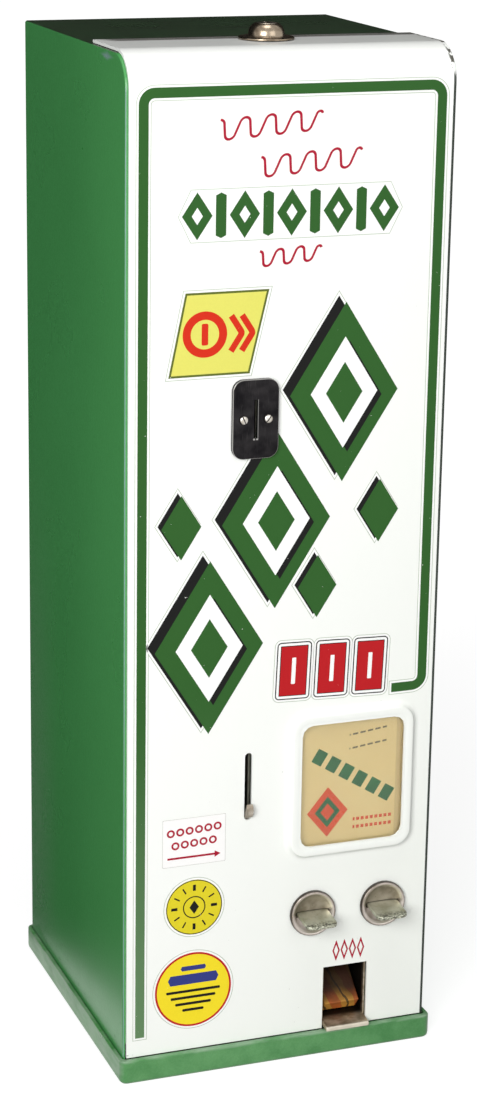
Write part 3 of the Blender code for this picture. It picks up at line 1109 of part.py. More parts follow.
def sold_out_works():
    """Shaft with a finger behind each column and the blade that turns a coin out to the return cup."""
    centre = (SOLD_OUT_Y, SOLD_OUT_Z)
    empty = joint_empty("sold_out_shaft_axis", *centre, 0.0, DOOR_HINGE)
    cross_shaft("sold_out_shaft", centre, empty)
    hub = HUB_RADIUS
    half, tail = FINGER_THICKNESS / 2, FINGER_TAIL_THICKNESS / 2
    for side, x in PULLS.items():
        back = SOLD_OUT_Y + hub * math.cos(math.radians(50))
        finger = arc(centre, hub, 50, 145, SMALL_ARC_STEPS + 1)
        finger += [(FINGER_REACH, SOLD_OUT_Z + half), (FINGER_REACH, SOLD_OUT_Z - half)]
        finger += arc(centre, hub, 215, 310, SMALL_ARC_STEPS + 1)
        finger += [(back + hub / 2, SOLD_OUT_Z - tail), (FINGER_TAIL, SOLD_OUT_Z - tail),
                   (FINGER_TAIL, SOLD_OUT_Z + tail), (back + hub / 2, SOLD_OUT_Z + tail)]
        arm("sold_out_finger_" + side, finger, centre, x, FINGER_WIDTH, BRASS, empty)
    tip = TRACK_BACK + RUN
    thick = BLADE_THICKNESS
    blade = arc(centre, hub, -225, 45, 2 * SMALL_ARC_STEPS + 2)
    blade += [(SOLD_OUT_Y + thick / 2, BLADE_TOP), (tip, BLADE_TOP + thick / 2), (tip, BLADE_TOP - thick),
              (SOLD_OUT_Y - thick / 2, BLADE_TOP - thick)]
    arm("return_blade", blade, centre, COIN_X, BLADE_WIDTH, BRASS, empty)


def vended_pack():
    """A pack that has dropped, leaning back in the chute."""
    half = Vector((PACK_DEPTH / 2, PACK_WIDTH / 2, PACK_THICKNESS / 2))
    low = Matrix.Rotation(PACK_LEAN, 3, "X") @ Vector((0, -half.y, -half.z))
    middle = Vector((VEND_CENTRE_X, PACK_REST_Y, chute_floor_z(PACK_REST_Y + low.y) + TOUCH - low.z))
    empty = joint_empty("vended_pack_slide", middle.y, middle.z, VEND_CENTRE_X, MACHINE)
    pack = box("vended_pack", -half, half, edge=PACK_EDGE)
    pack.rotation_euler = (PACK_LEAN, 0, 0)
    pack.location = middle
    return finish(pack, GUM, empty)


def lock():
    """Dome lock: shell clamped to the door's flange by a nut, plug turned by the key, cam under it."""
    z = LOCK_RING_Z
    dome = z + LOCK_DOME_HEIGHT
    bore = LOCK_PLUG_RADIUS + RUN
    ring, edge = LOCK_RING_THICKNESS, LOCK_RING_THICKNESS / 2
    profile = [(bore, dome), (LOCK_DOME_TOP_RADIUS, dome), (LOCK_DOME_TOP_RADIUS + edge, dome - edge),
               (LOCK_DOME_RADIUS, z + 2 * ring), (LOCK_DOME_RADIUS + edge, z + ring),
               (LOCK_RING_RADIUS - ring, z + ring), (LOCK_RING_RADIUS, z + edge), (LOCK_RING_RADIUS, z),
               (LOCK_BODY_RADIUS, z), (LOCK_BODY_RADIUS, z - LOCK_BODY_LENGTH), (bore, z - LOCK_BODY_LENGTH)]
    shell = turned_piece("lock_shell", profile)
    shell.location = (0, LOCK_Y, 0)
    finish(shell, NICKEL, DOOR_HINGE)

    under = DOOR_TOP - DOOR_SHEET - TOUCH
    six = arc((0, LOCK_Y), LOCK_NUT_RADIUS, 0, 360, 6)[:-1]
    hole = arc((0, LOCK_Y), LOCK_BODY_RADIUS + RUN, 0, 360, ROUND_STEPS)[:-1]
    finish(plate("lock_nut", [six, hole], "XY", under - LOCK_NUT_HEIGHT, under), ZINC, DOOR_HINGE)

    empty = joint_empty("lock_turn", LOCK_Y, CAM_TOP, 0.0, DOOR_HINGE)
    plug = rod("lock_plug", (0, LOCK_Y), LOCK_PLUG_RADIUS, "Z", PLUG_END, dome, steps=ROUND_STEPS)
    keyway = box("keyway", (-KEYWAY_WIDTH / 2, LOCK_Y - KEYWAY_LENGTH / 2, dome - KEYWAY_DEPTH),
                 (KEYWAY_WIDTH / 2, LOCK_Y + KEYWAY_LENGTH / 2, dome + CUT))
    boolean(plug, keyway)
    boolean(plug, rod("plug_tapping", (0, LOCK_Y), CAM_SCREW_RADIUS + RUN, "Z", PLUG_END - CUT,
                      PLUG_END + CAM_SCREW_LENGTH))
    finish(plug, NICKEL, empty)

    end = CAM_WIDTH / 2
    cam_outline = arc((0, LOCK_Y + CAM_LENGTH - end), end, 0, 180, 2 * SMALL_ARC_STEPS)
    cam_outline += arc((0, LOCK_Y), end, 180, 360, 2 * SMALL_ARC_STEPS)
    cam_hole = arc((0, LOCK_Y), CAM_SCREW_RADIUS + RUN, 0, 360, PIN_STEPS)[:-1]
    finish(plate("lock_cam", [cam_outline, cam_hole], "XY", CAM_TOP - CAM_THICKNESS, CAM_TOP), ZINC, empty)

    profile = screw_profile(CAM_SCREW_HEAD_RADIUS, CAM_SCREW_HEAD_HEIGHT, CAM_SCREW_RADIUS,
                            CAM_TOP - CAM_THICKNESS - TOUCH, PLUG_END + CAM_SCREW_LENGTH - TOUCH)
    screw = turned_piece("cam_screw", profile, PIN_STEPS)
    screw.location = (0, LOCK_Y, 0)
    finish(screw, ZINC, empty)


for build in (base_tray, cabinet_shell, base_screws, hinge_straps, lock_strike, delivery_chute, cash_box,
              front_door, window_parts, coin_slot_plate, plate_screws, backing_plate, coin_track,
              coin_return_cup, escutcheons, mechanism_frame, slide_keepers, merchandise_columns,
              column_bracket, gum_stacks, follower_weights, ejectors, return_springs, release_works,
              sold_out_works, vended_pack, lock):
    build()
carry_cutters()
bpy.context.view_layer.update()
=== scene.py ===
import json
import math

import bmesh
import bpy
from mathutils import Matrix, Vector


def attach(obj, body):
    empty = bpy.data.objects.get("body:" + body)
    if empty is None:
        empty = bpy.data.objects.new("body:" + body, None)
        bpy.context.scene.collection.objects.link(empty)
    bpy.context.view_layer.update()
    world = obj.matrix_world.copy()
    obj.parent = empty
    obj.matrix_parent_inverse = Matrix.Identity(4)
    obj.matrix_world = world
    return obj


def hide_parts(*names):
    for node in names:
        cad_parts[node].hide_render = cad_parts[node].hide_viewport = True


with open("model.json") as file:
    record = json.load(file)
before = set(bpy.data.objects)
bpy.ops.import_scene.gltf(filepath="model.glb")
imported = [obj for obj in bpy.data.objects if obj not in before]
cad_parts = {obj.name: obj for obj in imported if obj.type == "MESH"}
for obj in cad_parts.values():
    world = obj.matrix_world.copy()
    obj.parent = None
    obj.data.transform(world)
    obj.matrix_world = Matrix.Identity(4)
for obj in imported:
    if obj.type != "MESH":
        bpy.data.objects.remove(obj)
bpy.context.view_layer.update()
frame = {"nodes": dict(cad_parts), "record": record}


# Studio: camera. The photograph was taken from the left of the machine and a little above it,
# from about a metre and a half away.

CAMERA_PLACE = (-0.4734, -1.2842, 0.6713)
CAMERA_TURN = math.radians(20.388)     # to the right of straight ahead
CAMERA_DOWN = math.radians(16.678)
CAMERA_ROLL = math.radians(0.877)
CAMERA_LENS = 87.48

camera = bpy.data.objects.new("camera", bpy.data.cameras.new("camera"))
bpy.context.scene.collection.objects.link(camera)
camera.data.lens = CAMERA_LENS
camera.data.sensor_width = 36
camera.matrix_world = (Matrix.Translation(CAMERA_PLACE) @ Matrix.Rotation(-CAMERA_TURN, 4, "Z")
                       @ Matrix.Rotation(math.radians(90) - CAMERA_DOWN, 4, "X")
                       @ Matrix.Rotation(CAMERA_ROLL, 4, "Z"))
bpy.context.scene.camera = camera
bpy.context.scene.view_settings.view_transform = "Standard"


# Studio: light. A large soft box stands in front of the machine's left corner and lights both its
# faces, and weaker ones fill from the right and from above. The room is white to the camera and in
# reflections, and dim as a light, so the top of the cabinet stays dark as in the photograph.

SOFT_BOXES = (  # name, place, size, watts
    ("corner_light", (-1.00, -1.30, 0.84), 0.9, 27.2),
    ("fill_light", (0.60, -1.75, 0.95), 1.1, 6.0),
    ("top_light", (-0.05, -0.28, 1.65), 0.6, 5.4),
)
ROOM_LIGHT = 0.13
AIM = Vector((0.0, 0.0, 0.27))

for name, place, size, watts in SOFT_BOXES:
    lamp = bpy.data.objects.new(name, bpy.data.lights.new(name, "AREA"))
    bpy.context.scene.collection.objects.link(lamp)
    lamp.data.size = size
    lamp.data.energy = watts
    lamp.location = place
    lamp.rotation_euler = (AIM - Vector(place)).to_track_quat("-Z", "Y").to_euler()


class Value:
    """A shader socket that can stand in a sum: each operator adds the Math node that works it out."""

    def __init__(self, nodes, socket):
        self.nodes, self.socket = nodes, socket

    def math(self, operation, *terms):
        return self.nodes.node("ShaderNodeMath", {"operation": operation}, dict(enumerate(terms)))

    def __add__(self, other):
        return self.math("ADD", self, other)

    def __sub__(self, other):
        return self.math("SUBTRACT", self, other)

    def __rsub__(self, other):
        return self.math("SUBTRACT", other, self)

    def __mul__(self, other):
        return self.math("MULTIPLY", self, other)

    def __truediv__(self, other):
        return self.math("DIVIDE", self, other)

    def __gt__(self, other):
        return self.math("GREATER_THAN", self, other)

    def __lt__(self, other):
        return self.math("LESS_THAN", self, other)

    def __abs__(self):
        return self.math("ABSOLUTE", self)

    def root(self):
        return self.math("SQRT", self)

    def or_more(self, other):
        return self.math("MAXIMUM", self, other)

    def wrapped(self, period):
        """The rest after whole periods, for a pattern that repeats."""
        return self.math("FLOORED_MODULO", self, period)

    def above(self, low, high, least=0.0):
        """The least below low, 1 above high, and smooth between."""
        return self.nodes.node("ShaderNodeMapRange", {"interpolation_type": "SMOOTHSTEP"},
                               {"Value": self, "From Min": low, "From Max": high, "To Min": least})

    def below(self, low, high):
        return 1 - self.above(low, high)

    __radd__ = __add__
    __rmul__ = __mul__


class Nodes:
    """A node tree in which every node is made by one method."""

    def __init__(self, tree):
        self.tree = tree

    def node(self, kind, settings=None, inputs=None, output=0):
        made = self.tree.nodes.new(kind)
        for key, setting in (settings or {}).items():
            setattr(made, key, setting)
        for key, value in (inputs or {}).items():
            if isinstance(value, Value):
                self.tree.links.new(value.socket, made.inputs[key])
            else:
                made.inputs[key].default_value = value
        return Value(self, made.outputs[output])


def seen_rays(nodes):
    """1 for rays from the camera, off gloss and through glass, 0 for rays that light the scene."""
    rays = nodes.node("ShaderNodeLightPath").socket.node.outputs
    straight, glossy, through = (Value(nodes, rays[f"Is {kind} Ray"])
                                 for kind in ("Camera", "Glossy", "Transmission"))
    return straight.or_more(glossy).or_more(through)


world = bpy.data.worlds.new("studio_room")
world.use_nodes = True
bpy.context.scene.world = world
room = Nodes(world.node_tree)
background = world.node_tree.nodes["Background"]
background.inputs["Color"].default_value = (1, 1, 1, 1)
room_strength = seen_rays(room) * (1 - ROOM_LIGHT) + ROOM_LIGHT
world.node_tree.links.new(room_strength.socket, background.inputs["Strength"])


# Studio: floor. A wide pale sheet that the camera sees as white, so that it fades into the white
# room, and that still shows the shadow of the machine close by.

FLOOR_SIZE = 40.0
FLOOR_COLOUR = (0.42, 0.42, 0.42, 1)
FLOOR_GLOW = 0.80          # near the machine
FLOOR_NEAR, FLOOR_FAR = 0.25, 1.3   # between these distances from the machine the glow rises to white


def object_of(name, bm):
    """A new object in the scene, made of a bmesh."""
    made = bpy.data.objects.new(name, bpy.data.meshes.new(name))
    bm.to_mesh(made.data)
    bm.free()
    bpy.context.scene.collection.objects.link(made)
    return made


def studio_sheet(name, bm, colour, roughness):
    """A sheet of the studio from its bmesh, in a matt material without gloss."""
    made = object_of(name, bm)
    material = bpy.data.materials.new(name + "_sheet")
    material.use_nodes = True
    shader = material.node_tree.nodes["Principled BSDF"]
    shader.inputs["Base Color"].default_value = colour
    shader.inputs["Roughness"].default_value = roughness
    shader.inputs["Specular IOR Level"].default_value = 0.0
    made.data.materials.append(material)
    return made, Nodes(material.node_tree), shader


bm = bmesh.new()
bmesh.ops.create_grid(bm, x_segments=1, y_segments=1, size=FLOOR_SIZE / 2)
floor, sheet_nodes, surface = studio_sheet("floor", bm, FLOOR_COLOUR, 0.9)
sheet_place = sheet_nodes.node("ShaderNodeTexCoord", output="Object")
distance = sheet_nodes.node("ShaderNodeVectorMath", {"operation": "LENGTH"}, {0: sheet_place},
                            output="Value")
glow = distance.above(FLOOR_NEAR, FLOOR_FAR, FLOOR_GLOW)
surface.inputs["Emission Strength"].default_value = 1.0
sheet_nodes.tree.links.new((seen_rays(sheet_nodes) * glow).socket, surface.inputs["Emission Color"])


# Studio: dark cloth. It lies behind and to the left of the pale sheet and hangs up at the back.
# Only reflections show it, so that the green enamel keeps its depth, as in the photograph, and
# mirrors the pale sheet only near its foot.

CLOTH_COLOUR = (0.012, 0.012, 0.012, 1)
CLOTH_WIDTH, CLOTH_HEIGHT, CLOTH_Y = 5.0, 2.4, 0.62
CLOTH_LYING = (2.5, 1.2)         # its lying part, to the left and from front to back
CLOTH_LYING_SHARES = (-0.5, 0.1)     # how far its middle lies from its edge, as shares of these
CLOTH_EDGE = (-0.101, 0.070, 0.002)     # where it starts, left of the machine
CLOTH_EDGE_TURN = math.radians(11)


def turn_round(bm, verts, angle, axis="Z"):
    """Turn some points about an axis through the origin."""
    bmesh.ops.rotate(bm, verts=verts, cent=(0, 0, 0), matrix=Matrix.Rotation(angle, 3, axis))


bm = bmesh.new()
standing = bmesh.ops.create_grid(bm, x_segments=1, y_segments=1, size=0.5)["verts"]
bmesh.ops.scale(bm, verts=standing, vec=(CLOTH_WIDTH, CLOTH_HEIGHT, 1))
turn_round(bm, standing, math.radians(90), "X")
bmesh.ops.translate(bm, verts=standing, vec=(0, CLOTH_Y, CLOTH_HEIGHT / 2))
lying = bmesh.ops.create_grid(bm, x_segments=1, y_segments=1, size=0.5)["verts"]
bmesh.ops.translate(bm, verts=lying, vec=(*CLOTH_LYING_SHARES, 0))
bmesh.ops.scale(bm, verts=lying, vec=(*CLOTH_LYING, 1))
turn_round(bm, lying, -CLOTH_EDGE_TURN)
bmesh.ops.translate(bm, verts=lying, vec=CLOTH_EDGE)
cloth = studio_sheet("dark_cloth", bm, CLOTH_COLOUR, 1.0)[0]
cloth.visible_camera = cloth.visible_diffuse = cloth.visible_shadow = cloth.visible_transmission = False


# Cabinet: one folded sheet steel shell in gloss green enamel, with rounded folds. The enamel has
# a fine orange peel and an uneven colour. It is scuffed along its foot. Light is painted into its
# colour: the side is paler towards the front, a highlight runs down the front fold, a reflection
# lies as one spot beside the lid, and painted shade darkens the top and the flanges by the door.


def srgb(red, green, blue):
    """A colour read off a screen, 0 to 255, as the linear values that a shader takes."""
    def linear(value):
        value /= 255
        return value / 12.92 if value <= 0.04045 else ((value + 0.055) / 1.055) ** 2.4
    return (linear(red), linear(green), linear(blue), 1)


class Finish(Nodes):
    """A material for one kind of surface. Its patterns read the object's own coordinates."""

    def __init__(self, name, metallic=0.0, specular=0.5, **constants):
        self.material = bpy.data.materials.new(name)
        self.material.use_nodes = True
        super().__init__(self.material.node_tree)
        self.shader = self.tree.nodes["Principled BSDF"]
        self.shader.inputs["Metallic"].default_value = metallic
        self.shader.inputs["Specular IOR Level"].default_value = specular
        for key, value in constants.items():
            self.shader.inputs[key].default_value = value
        self.place = self.node("ShaderNodeTexCoord", output="Object")

    def drive(self, **inputs):
        """Link values to the shader's colour and roughness."""
        sockets = {"colour": "Base Color", "roughness": "Roughness"}
        for key, value in inputs.items():
            if isinstance(value, Value):
                self.tree.links.new(value.socket, self.shader.inputs[sockets[key]])
            else:
                self.shader.inputs[sockets[key]].default_value = value

    def colour(self):
        """What drives the colour so far, to lay more over it."""
        return Value(self, self.shader.inputs["Base Color"].links[0].from_socket)

    def axis(self, letter):
        parts = self.node("ShaderNodeSeparateXYZ", inputs={"Vector": self.place})
        return Value(self, parts.socket.node.outputs[letter])

    def noise(self, size, detail=2.0, stretch=(1, 1, 1), roughness=0.5):
        """Smooth noise from 0 to 1 whose features are about size metres, stretched along each axis."""
        spread = [1 / (size * s) for s in stretch]
        place = self.node("ShaderNodeMapping", inputs={"Vector": self.place, "Scale": spread})
        return self.node("ShaderNodeTexNoise",
                         inputs={"Vector": place, "Scale": 1.0, "Detail": detail, "Roughness": roughness})

    def mix(self, mask, first, second):
        return self.node("ShaderNodeMix", {"data_type": "RGBA"}, {0: mask, 6: first, 7: second}, output=2)

    def over(self, colour, *layers):
        """Lay colours over one another, each where its mask is 1."""
        for mask, layer in layers:
            colour = self.mix(mask, colour, layer)
        return colour

    def bump(self, height, depth):
        """Raise the surface by depth metres where height is 1."""
        normal = self.node("ShaderNodeBump", inputs={"Height": height, "Distance": depth, "Strength": 1.0})
        self.tree.links.new(normal.socket, self.shader.inputs["Normal"])
        return self


CAD_MERGE = 1e-6
SMOOTH_ANGLE = math.radians(32)


def merge(bm):
    bmesh.ops.remove_doubles(bm, verts=bm.verts, dist=CAD_MERGE)


def hang(piece, finish, body, *nodes):
    """Give a piece its finish, its CAD body, and the CAD nodes that it stands for."""
    piece.data.materials.clear()
    piece.data.materials.append(finish.material)
    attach(piece, body)
    if nodes:
        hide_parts(*nodes)
    return piece


def finished_copy(name, node, finish, body, edge=0.0, rounds=2):
    """A CAD piece with its triangles merged, smooth where it is round, and its edges softened."""
    bm = bmesh.new()
    bm.from_mesh(frame["nodes"][node].data)
    merge(bm)
    bmesh.ops.dissolve_limit(bm, angle_limit=math.radians(1), verts=bm.verts, edges=bm.edges)
    piece = object_of(name, bm)
    piece.data.shade_smooth()
    piece.data.set_sharp_from_angle(angle=SMOOTH_ANGLE)
    if edge:
        soft = piece.modifiers.new("soft_edges", "BEVEL")
        soft.width = edge
        soft.segments = rounds
        soft.limit_method = "ANGLE"
        soft.angle_limit = SMOOTH_ANGLE
    flat = piece.modifiers.new("flat_faces", "WEIGHTED_NORMAL")
    flat.keep_sharp = True
    return hang(piece, finish, body, node)


GREEN_LIGHT = srgb(76, 154, 88)
GREEN_DEEP = srgb(54, 124, 63)
# painted light: the paler green towards the side's front
GREEN_LIT = srgb(84, 164, 92)
GREEN_SCUFF = srgb(104, 132, 108)
GREEN_DUST = srgb(128, 140, 130)
# painted shade: the dark colour of the cabinet's top
TOP_SHADE = srgb(42, 47, 38)
EDGE_SHADE = srgb(20, 34, 24)
# painted highlight: the pale blue grey of the front fold and of one spot on the side
HIGHLIGHT_GREY = srgb(140, 156, 170)
# Each pair is where a change of colour starts and ends along one axis.
SCUFF_Z = 0.004, 0.045     # the scuffs fade out between these heights
LIT_FRONT_Y = -0.085, 0.030   # painted light: the side is painted paler towards the front
DULL_Y, DULL_Z = (0.030, 0.095), (0.04, 0.34)   # dust low down at the rear
TOP_SKIN = 0.5325, 0.5329
FLANGE_SKIN = -0.0784, -0.0779   # face of the narrow flanges that the door closes on
FLANGE_INNER, FLANGE_RIGHT = (-0.082, -0.080), (0.080, 0.082)
FLANGE_RIGHT_Y = -0.0776, -0.0772
FOLD_X = -0.08535, -0.08500   # painted highlight along the outer fold of the left flange
TRAY_TOP = 0.0135, 0.0140
SIDE_SKIN = -0.0850, -0.0845
REFLECTION_Y, REFLECTION_Z = -0.0500, 0.5300   # where a painted reflection lies on the left side, below the lid
REFLECTION_FLATNESS = 0.22
REFLECTION_REACH = 0.0002, 0.0030

green_enamel = Finish("green_enamel", specular=0.4)
patches = green_enamel.noise(0.16, 3)
grain = green_enamel.noise(0.0007, 2)
side_x, front_y, high_z = (green_enamel.axis(letter) for letter in "XYZ")
mottled = patches * 0.5 + grain.above(0.28, 0.72) * 0.5
# painted light: paler towards the front
lit_front = front_y.below(*LIT_FRONT_Y)
scuffs = green_enamel.noise(0.009, 5, (1, 1, 0.35)).above(0.60, 0.72) * high_z.below(*SCUFF_Z)
dull_rear = front_y.above(*DULL_Y) * high_z.below(*DULL_Z) * grain.above(0.30, 0.75)
# painted shade over the whole top, a little uneven
shaded_top = high_z.above(*TOP_SKIN) * (0.86 + green_enamel.noise(0.03, 4) * 0.14)
on_flange = front_y.below(*FLANGE_SKIN) * high_z.above(*TRAY_TOP)
shaded_left = on_flange * side_x.above(*FLANGE_INNER)
shaded_right = side_x.above(*FLANGE_RIGHT) * front_y.below(*FLANGE_RIGHT_Y)
# painted highlight along the left front fold, a little broken
fold_highlight = on_flange * side_x.below(*FOLD_X) * (0.55 + green_enamel.noise(0.004, 4, (1, 1, 6)) * 0.6)
# painted reflection: a flat spot on the left side below the lid
from_reflection = abs(front_y - REFLECTION_Y) * REFLECTION_FLATNESS + abs(high_z - REFLECTION_Z)
side_reflection = from_reflection.below(*REFLECTION_REACH) * side_x.below(*SIDE_SKIN) * green_enamel.noise(0.002, 3)
enamel = green_enamel.over(
    green_enamel.mix(mottled, GREEN_DEEP, GREEN_LIGHT), (lit_front * 0.4, GREEN_LIT),
    (scuffs * 0.6, GREEN_SCUFF), (dull_rear * 0.75, GREEN_DUST), (shaded_top, TOP_SHADE),
    (shaded_left.or_more(shaded_right) * 0.9, EDGE_SHADE), (fold_highlight, HIGHLIGHT_GREY), (side_reflection * 1.3, HIGHLIGHT_GREY))
green_enamel.drive(colour=enamel, roughness=green_enamel.noise(0.05, 4) * 0.14 + 0.22 + scuffs * 0.25)
green_enamel.bump(green_enamel.noise(0.0022, 1) * 0.8 + green_enamel.noise(0.0007, 0) * 0.2, 0.00006)

FOLD_EDGE = 0.0003
finished_copy("cabinet", "cabinet_shell", green_enamel, "cabinet", FOLD_EDGE)


# Base tray: pressed sheet in a paler green enamel, which the cabinet stands in and is screwed to.
# Its rim and corners are paler in patches, partly rubbed by hands and boxes and partly a painted highlight
# along their rounded edges.

TRAY_EDGE = 0.0002
TRAY_DEEPER = -0.02, 0.085   # the colour deepens to the right between these places
TRAY_RIM = 0.0118, 0.0131
TRAY_CORNERS = 0.0858, 0.0878
TRAY_GREEN = srgb(60, 124, 64)
TRAY_PALE = srgb(98, 156, 98)
TRAY_RUBBED_SHEEN = srgb(140, 168, 140)

tray_enamel = Finish("tray_enamel", specular=0.4)
tray_x, tray_z = tray_enamel.axis("X"), tray_enamel.axis("Z")
mottle = tray_enamel.noise(0.014, 5).above(0.3, 0.7) * 0.55
mottle = mottle + tray_enamel.noise(0.0009, 3) * 0.6 - 0.08
mottle = mottle - tray_x.above(*TRAY_DEEPER) * 0.3
tray_green = tray_enamel.mix(mottle, TRAY_GREEN, TRAY_PALE)
# painted highlight and rubbing along the rim and at the corners
rim_rub_and_sheen = tray_z.above(*TRAY_RIM).or_more(abs(tray_x).above(*TRAY_CORNERS) * 0.5)
rubbed_and_sheen = rim_rub_and_sheen * tray_enamel.noise(0.006, 4, (3, 3, 0.6)).above(0.38, 0.66) * 0.75
tray_green = tray_enamel.mix(rubbed_and_sheen, tray_green, TRAY_RUBBED_SHEEN)
tray_enamel.drive(colour=tray_green, roughness=tray_enamel.noise(0.03, 4) * 0.2 + 0.22)
tray_enamel.bump(tray_enamel.noise(0.0022, 1), 0.00005)
finished_copy("tray", "base_tray", tray_enamel, "cabinet", TRAY_EDGE)


# Door: one sheet steel panel bent back over the top, in white enamel. It hangs from two ears at
# its foot. The enamel is painted a little greyer towards the lower right as painted shade, and is
# chipped at its corners. Painted shade greys the flange behind the bend, and a painted shadow runs
# down its right edge.

WHITE_LIT = srgb(251, 252, 249)
WHITE_SHADED = srgb(243, 246, 239)
CHIP_COLOUR = srgb(72, 70, 62)
# painted shade: the grey of the flange behind the bend
FLANGE_SHADE = srgb(104, 100, 96)
DOOR_SIDE = 0.0842
FALLOFF_ALONG = -0.26, 0.10       # painted shade grows from the upper left to the lower right
FLANGE_SHADE_Y, FLANGE_SHADE_Z = (-0.0345, -0.0300), (0.5, 0.53)
FLANGE_SHADE_LEFT_END = -0.094, -0.084
CHIP_FOOT, CHIP_CORNERS = (0.0148, 0.0162), (0.0800, 0.0832)
CHIP_BEND_X, CHIP_BEND_Z = (0.0815, 0.0828), (0.5225, 0.5240)
# painted shadow of the gap along the door's right edge
EDGE_SHADOW_X = DOOR_SIDE - 0.0013, DOOR_SIDE - 0.0010
EDGE_SHADOW_TOP = 0.519, 0.523

white_enamel = Finish("white_enamel")
door_x, door_y, door_z = (white_enamel.axis(letter) for letter in "XYZ")
# painted shade: greyer towards the lower right, with some uneven tone
painted_falloff = (door_x - door_z * 0.45).above(*FALLOFF_ALONG) * 0.75 + white_enamel.noise(0.12, 3) * 0.25
# painted shade on the flange behind the bend, short of its bright left end
flange_shade = door_y.above(*FLANGE_SHADE_Y) * door_z.above(*FLANGE_SHADE_Z) * (door_x + door_y * 0.4).above(*FLANGE_SHADE_LEFT_END)
flange_shade = flange_shade * (0.75 + white_enamel.noise(0.02, 4) * 0.25)
foot_corners = door_z.below(*CHIP_FOOT) * abs(door_x).above(*CHIP_CORNERS)
bend = door_z.above(*CHIP_BEND_Z) * door_x.above(*CHIP_BEND_X)
chips = white_enamel.noise(0.0030, 4).above(0.50, 0.56) * foot_corners.or_more(bend)
# painted shadow along the door's right edge
shadowed_edge = door_x.above(*EDGE_SHADOW_X) * door_z.below(*EDGE_SHADOW_TOP)
specks = white_enamel.noise(0.0019, 2).above(0.80, 0.815) * 0.5
white_enamel.drive(colour=white_enamel.over(white_enamel.mix(painted_falloff, WHITE_LIT, WHITE_SHADED),
                                            (flange_shade, FLANGE_SHADE), (shadowed_edge, EDGE_SHADE),
                                            (chips.or_more(specks), CHIP_COLOUR)),
                   roughness=white_enamel.noise(0.06, 4) * 0.14 + 0.16 + chips * 0.3)
white_enamel.bump(white_enamel.noise(0.0024, 1), 0.00005)

DOOR_EDGE = 0.00035
finished_copy("door", "front_door", white_enamel, "door", DOOR_EDGE)


# Window rim: the door's sheet is pressed forward round the window, with a soft flare at its foot
# and a rolled front, and turns back in to the glass.

DOOR_FACE = -0.0805        # the door's front face
WINDOW_X = 0.0385
WINDOW_Z = 0.155
RIM_WIDTH = 0.0678
RIM_HEIGHT = 0.0782
RIM_CORNER = 0.009
RIM_FLARE = 0.0036
RIM_LIFT = 0.00004
RIM_STEPS = (  # inwards, outwards, in millimetres: the flare, then the front, then the way back
    (1.1, 0.06), (0.9, 0.22), (0.7, 0.45), (0.5, 0.70), (0.3, 0.80), (0.12, 0.40),
    (0.25, 0.28), (0.45, 0.14), (0.70, 0.04), (1.20, 0.0),
    (1.10, -0.04), (0.70, -0.18), (0.40, -0.42), (0.14, -0.60),
)
MM = 0.001
ON_DOOR = Matrix.Translation((0, DOOR_FACE, 0)) @ Matrix.Rotation(math.radians(90), 4, "X")


def rounded_face(bm, width, height, corner, x=0.0, y=0.0, steps=6):
    """One flat face with rounded corners, round (x, y)."""
    verts = bmesh.ops.create_grid(bm, x_segments=1, y_segments=1, size=0.5)["verts"]
    bmesh.ops.scale(bm, verts=verts, vec=(width, height, 1))
    bmesh.ops.translate(bm, verts=verts, vec=(x, y, 0))
    made = bmesh.ops.bevel(bm, geom=verts, offset=corner, segments=steps, affect="VERTICES",
                           profile=0.5, offset_type="OFFSET", material=-1)
    return max((f for v in made["verts"] for f in v.link_faces), key=lambda f: f.calc_area())


def step_in(bm, face, inwards, outwards=0.0):
    """Draw a free face in by a step, and out of its plane, with a band of faces round it."""
    bmesh.ops.inset_region(bm, faces=[face], thickness=inwards, depth=outwards, use_even_offset=True,
                           use_boundary=True)


def take_out(bm, *faces):
    bmesh.ops.delete(bm, geom=faces, context="FACES")


def piece_of(name, bm, smooth=True):
    """Finish a bmesh as an object at the origin, with its faces outwards."""
    merge(bm)
    bmesh.ops.recalc_face_normals(bm, faces=bm.faces)
    piece = object_of(name, bm)
    if smooth:
        piece.data.shade_smooth()
        piece.data.set_sharp_from_angle(angle=SMOOTH_ANGLE)
    return piece


bm = bmesh.new()
face = rounded_face(bm, RIM_WIDTH + 2 * RIM_FLARE, RIM_HEIGHT + 2 * RIM_FLARE, RIM_CORNER + RIM_FLARE,
                    WINDOW_X, WINDOW_Z, 10)
for inwards, outwards in RIM_STEPS:
    step_in(bm, face, inwards * MM, outwards * MM)
take_out(bm, face)
bmesh.ops.transform(bm, verts=bm.verts, matrix=ON_DOOR)
bmesh.ops.translate(bm, verts=bm.verts, vec=(0, -RIM_LIFT, 0))
hang(piece_of("window_rim", bm), white_enamel, "door")


# Door stripe: a green line on clear film, round the panel and down both sides. Its right leg
# turns in above the window.

STRIPE_WIDTH = 0.0050
STRIPE_LEFT = -0.0771      # middle of the left leg
STRIPE_FOOT = 0.0245
STRIPE_TOP = 0.5155
STRIPE_RIGHT_FOOT = 0.2040
STRIPE_TURN = 0.0055       # radius at the middle of the line
STRIPE_END = 0.0600
FILM_MARGIN = 0.0014
FILM_RIM = 0.0004          # width of the line where dirt has caught on the film's edge
FILM_LIFT = 0.00005
INK_LIFT = 0.00012
TURN_STEPS = 10

INK_WORN = srgb(124, 156, 118)
WORN_LOW = 0.02, 0.22      # the green ink is paler towards the foot, between these heights


